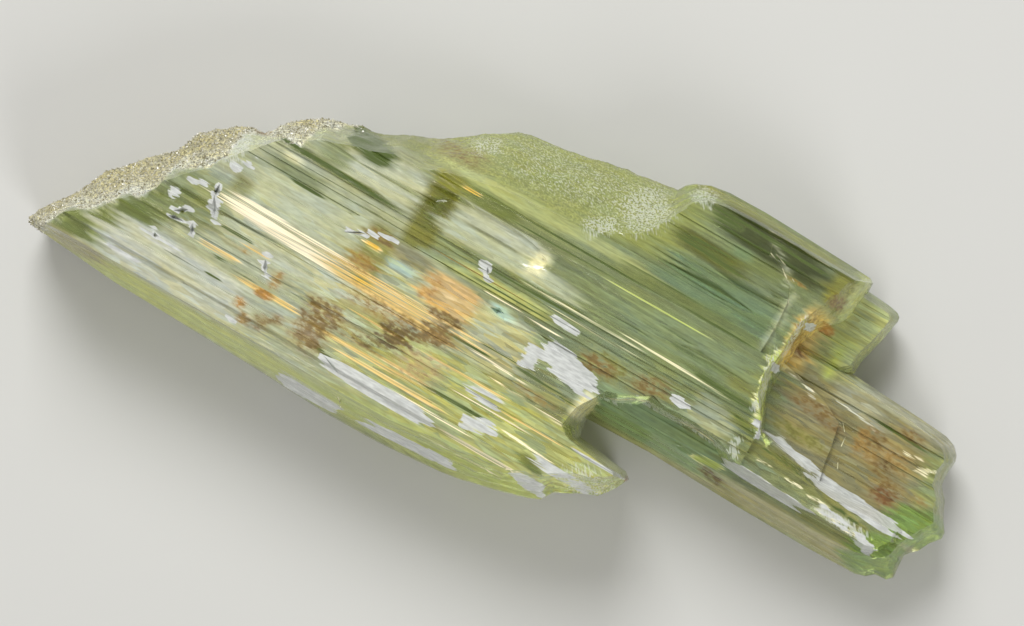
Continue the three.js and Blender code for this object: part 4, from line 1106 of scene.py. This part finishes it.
def film_mesh(name, films, depth, seed):
    """Thin, wavy, ragged patches under the upper surface, each with its tone, fading to its rim.

    A film is a mark with its tone and cover. depth is how far it lies under the surface, in millimetres.
    """
    chance = random.Random(seed)
    surface = upper_surface()
    points, tones, covers, faces = [], [], [], []
    for film_x, film_y, half_length, half_width, turn, _, tone, cover in films:
        level = height_at(surface, film_x, film_y)
        start = len(points)
        angle = math.radians(turn)
        deeper = depth * chance.uniform(*FILM_DEPTHS)
        for spoke in range(FILM_SPOKES):
            direction = 2 * math.pi * spoke / FILM_SPOKES
            along = half_length * math.cos(direction)
            across = half_width * math.sin(direction)
            dx = along * math.cos(angle) - across * math.sin(angle)
            dy = along * math.sin(angle) + across * math.cos(angle)
            reach = chance.uniform(*FILM_REACH)
            for ring in range(FILM_RINGS + 1):
                share = ring / FILM_RINGS
                x, y = film_x + dx * reach * share, film_y + dy * reach * share
                height = height_at(surface, x, y)
                while height is None or abs(height - level) > LEDGE:
                    reach *= 0.85
                    x, y = film_x + dx * reach * share, film_y + dy * reach * share
                    height = height_at(surface, x, y)
                wave = WAVES * noise.noise(Vector((x * 1.4, y * 2.2, film_x)))
                points.append(place(x, y, max(LOWEST_FILM, height - deeper) + wave))
                tones.append(tone)
                covers.append(FILM_COVER * cover * (1 - float(smooth(0.35, 1.0, share))))
        count = FILM_RINGS + 1
        for spoke in range(FILM_SPOKES):
            a = start + spoke * count
            b = start + (spoke + 1) % FILM_SPOKES * count
            faces.append((a, a + 1, b + 1))
            faces += [(a + ring, a + ring + 1, b + ring + 1, b + ring) for ring in range(1, FILM_RINGS)]
    mesh = bpy.data.meshes.new(name)
    mesh.from_pydata(points, [], faces)
    store(mesh, "tone", tones)
    store(mesh, "cover", covers)
    mesh.shade_smooth()
    return mesh


def broad(marks):
    """The marks that are large enough to show as films."""
    return [mark for mark in marks if mark[2] * mark[3] > BROAD_FILM]


class HIDDENITE_OT_iron_stains(bpy.types.Operator):
    """Lays iron films inside the crystal, under its stained places, and scatters rust flakes over them"""

    bl_idname = "hiddenite.iron_stains"
    bl_label = "Iron stains"

    def execute(self, context):
        _, inclusions, _ = settings()
        films = film_mesh("iron_films", broad(IRON_STAINS), inclusions.film_depth / MM, IRON_SEED)
        values = {"Size": inclusions.flake_size, "Density": inclusions.flake_density, "Seed": RUST_SEED}
        tree = scatter_tree("rust_flakes", rust_material(), values, 0.3, False)
        grown("iron_flakes", films.copy(), tree, values)
        films.materials.append(film_material("iron_film", *IRON_FILM))
        new_piece("iron_films", films)
        return {"FINISHED"}


class HIDDENITE_OT_reflection_veils(bpy.types.Operator):
    """Lays pale veils inside the crystal, under its painted reflections; their white is painted reflection
    too
    """

    bl_idname = "hiddenite.fracture_veils"
    bl_label = "Reflection veils"

    def execute(self, context):
        _, inclusions, _ = settings()
        facets = [(*mark[:6], HIGHLIGHT_WHITE, mark[6]) for mark in broad(PAINTED_REFLECTIONS)]
        veils = film_mesh("fracture_veils", facets, inclusions.film_depth / MM, VEIL_SEED)
        veils.materials.append(film_material("reflection_veil", *VEIL))
        new_piece("fracture_veils", veils)
        return {"FINISHED"}


def threads_grown(name, material_name, tone, threads):
    """A piece of threads. A thread is its points and its thickness, and it is thin at both ends."""
    _, inclusions, _ = settings()
    points, edges, thickness = [], [], []
    for line, width in threads:
        start = len(points)
        last = len(line) - 1
        points += line
        edges += [(start + n, start + n + 1) for n in range(last)]
        thickness += [width * (0.15 + 0.85 * math.sin(math.pi * n / last) ** 0.5) for n in range(last + 1)]
    mesh = bpy.data.meshes.new(name)
    mesh.from_pydata(points, edges, [])
    store(mesh, "thickness", thickness)
    values = {"Width": inclusions.tube_width}
    tree = thread_tree(name + "_shape", thread_material(material_name, tone), values)
    return grown(name, mesh, tree, values)


def lengthwise_thread(surface, y, from_x, to_x, depth, width):
    """A nearly straight thread along the crystal, under the lowest part of the surface over it."""
    count = max(4, int((to_x - from_x) / TUBE_STEP))
    stops = [from_x + (to_x - from_x) * n / count for n in range(count + 1)]
    heights = [height_at(surface, x, y) for x in stops]
    if None in heights or max(heights) - min(heights) > LEDGE:
        return None
    z = max(LOWEST_FILM, min(heights) - depth)
    return [place(x, y + 0.03 * noise.noise(Vector((x * 0.4, y * 3, z))), z) for x in stops], width


class HIDDENITE_OT_growth_tubes(bpy.types.Operator):
    """Draws the fine lengthwise tubes and the cores of the golden streaks"""

    bl_idname = "hiddenite.growth_tubes"
    bl_label = "Growth tubes"

    def execute(self, context):
        _, inclusions, _ = settings()
        between = random.Random(THREAD_SEED).uniform
        surface = upper_surface()
        tubes = []
        for x0, x1, y0, y1, share in TUBE_FIELDS:
            for _ in range(round(inclusions.tubes * share)):
                start = between(x0, x1 - TUBE_LENGTHS[0])
                end = min(x1, start + between(*TUBE_LENGTHS))
                depth = between(*TUBE_DEPTHS)
                tube = between(y0, y1), start, end, depth, between(*TUBE_WIDTHS)
                tubes.append(lengthwise_thread(surface, *tube))
        gold = []
        for x, y, half_length, half_width, *_ in GOLD_STREAKS_AND_GLINTS:
            for _ in range(max(1, round(half_width * CORES))):
                line_y = y + between(-CORE_SPREAD, CORE_SPREAD) * half_width
                reach = half_length * between(*CORE_REACH)
                depth = between(*CORE_DEPTHS)
                core = line_y, x - reach, x + reach, depth, between(*CORE_WIDTHS)
                gold.append(lengthwise_thread(surface, *core))
        threads_grown("growth_tubes", "growth_tubes", CREAM, filter(None, tubes))
        threads_grown("gold_streaks", "gold_streaks", GOLD, filter(None, gold))
        return {"FINISHED"}


class HIDDENITE_OT_cracks(bpy.types.Operator):
    """Draws the pale crack lines just under the surface"""

    bl_idname = "hiddenite.cracks"
    bl_label = "Cracks"

    def execute(self, context):
        surface = upper_surface()
        threads = []
        for width, line in CRACKS:
            threads.append(([place(x, y, height_at(surface, x, y) - CRACK_DEPTH) for x, y in line], width))
        threads_grown("cracks", "crack", CREAM, threads)
        return {"FINISHED"}


def area_light(name, position, size, power, colour):
    """A soft box that faces the crystal."""
    light = bpy.data.lights.new(name, "AREA")
    light.shape = "RECTANGLE"
    light.size, light.size_y = size
    light.energy = power
    light.color = colour
    lamp = in_scene(name, light)
    lamp.location = position
    lamp.rotation_euler = (-Vector(position)).to_track_quat("-Z", "Y").to_euler()


def floor_piece(colour):
    """The plain pale floor."""
    mesh = bpy.data.meshes.new("floor")
    sides = [(-1, -1), (1, -1), (1, 1), (-1, 1)]
    corners = [(x * FLOOR_HALF, y * FLOOR_HALF, LOW.z - FLOOR_GAP) for x, y in sides]
    mesh.from_pydata(corners, [], [(0, 1, 2, 3)])
    material, tree = new_material("floor")
    shade = ramp(tree, stretched_noise(tree, 30.0, 30.0), 0.3, 0.7, [c * 0.97 for c in colour], colour)
    mesh.materials.append(dressed(material, {"Base Color": shade, "Roughness": 0.9}))
    in_scene("floor", mesh)


class HIDDENITE_OT_stage(bpy.types.Operator):
    """Makes the floor, the lights and the camera"""

    bl_idname = "hiddenite.stage"
    bl_label = "Stage"

    def execute(self, context):
        _, _, colours = settings()
        scene = context.scene
        floor_piece(colours.floor)
        for name, light in SOFT_BOXES.items():
            area_light(name, *light)
        world = bpy.data.worlds.new("studio")
        world.use_nodes = True
        world.node_tree.nodes["Background"].inputs["Color"].default_value = WORLD_COLOUR
        world.node_tree.nodes["Background"].inputs["Strength"].default_value = WORLD_STRENGTH
        scene.world = world
        scene.view_settings.view_transform = "Standard"
        camera = in_scene("camera", bpy.data.cameras.new("camera"))
        camera.data.lens = LENS
        camera.data.sensor_width = SENSOR
        camera.data.clip_start = 0.01
        distance = PHOTO_WIDTH * PIXEL * LENS / SENSOR
        camera.location = place(*PHOTO_CENTRE, FOCUS_HEIGHT) + Vector((0, 0, distance))
        camera.rotation_euler = (0, 0, math.radians(PHOTO_TURN))
        scene.camera = camera
        scene.cycles.max_bounces = MOST_BOUNCES
        scene.cycles.transmission_bounces = MOST_INNER_BOUNCES
        return {"FINISHED"}


PIECES = (
    HIDDENITE_OT_crystal_body,
    HIDDENITE_OT_etched_grains,
    HIDDENITE_OT_iron_stains,
    HIDDENITE_OT_reflection_veils,
    HIDDENITE_OT_growth_tubes,
    HIDDENITE_OT_cracks,
    HIDDENITE_OT_stage,
)


class HIDDENITE_PT_panel(bpy.types.Panel):
    """Lists the crystal's pieces and settings"""

    bl_idname = "HIDDENITE_PT_panel"
    bl_label = "Hiddenite crystal"
    bl_space_type = "VIEW_3D"
    bl_region_type = "UI"
    bl_category = "Crystal"

    def draw(self, context):
        for group in settings():
            box = self.layout.box()
            for name in group.bl_rna.properties.keys():
                if name not in {"rna_type", "name"}:
                    box.prop(group, name)
        for piece in PIECES:
            self.layout.operator(piece.bl_idname)


CLASSES = (CrystalSizes, InclusionSizes, CrystalColours, *PIECES, HIDDENITE_PT_panel)
GROUPS = {
    "hiddenite_sizes": CrystalSizes,
    "hiddenite_inclusions": InclusionSizes,
    "hiddenite_colours": CrystalColours,
}


def register():
    """Registers the classes and the groups of settings."""
    for cls in CLASSES:
        bpy.utils.register_class(cls)
    for name, group in GROUPS.items():
        setattr(bpy.types.Scene, name, PointerProperty(type=group))


def unregister():
    """Removes what register added."""
    for name in GROUPS:
        delattr(bpy.types.Scene, name)
    for cls in reversed(CLASSES):
        bpy.utils.unregister_class(cls)


def main():
    register()
    bpy.ops.hiddenite.crystal_body()
    bpy.ops.hiddenite.etched_grains()
    bpy.ops.hiddenite.iron_stains()
    bpy.ops.hiddenite.fracture_veils()
    bpy.ops.hiddenite.growth_tubes()
    bpy.ops.hiddenite.cracks()
    bpy.ops.hiddenite.stage()


if __name__ == "__main__":
    main()
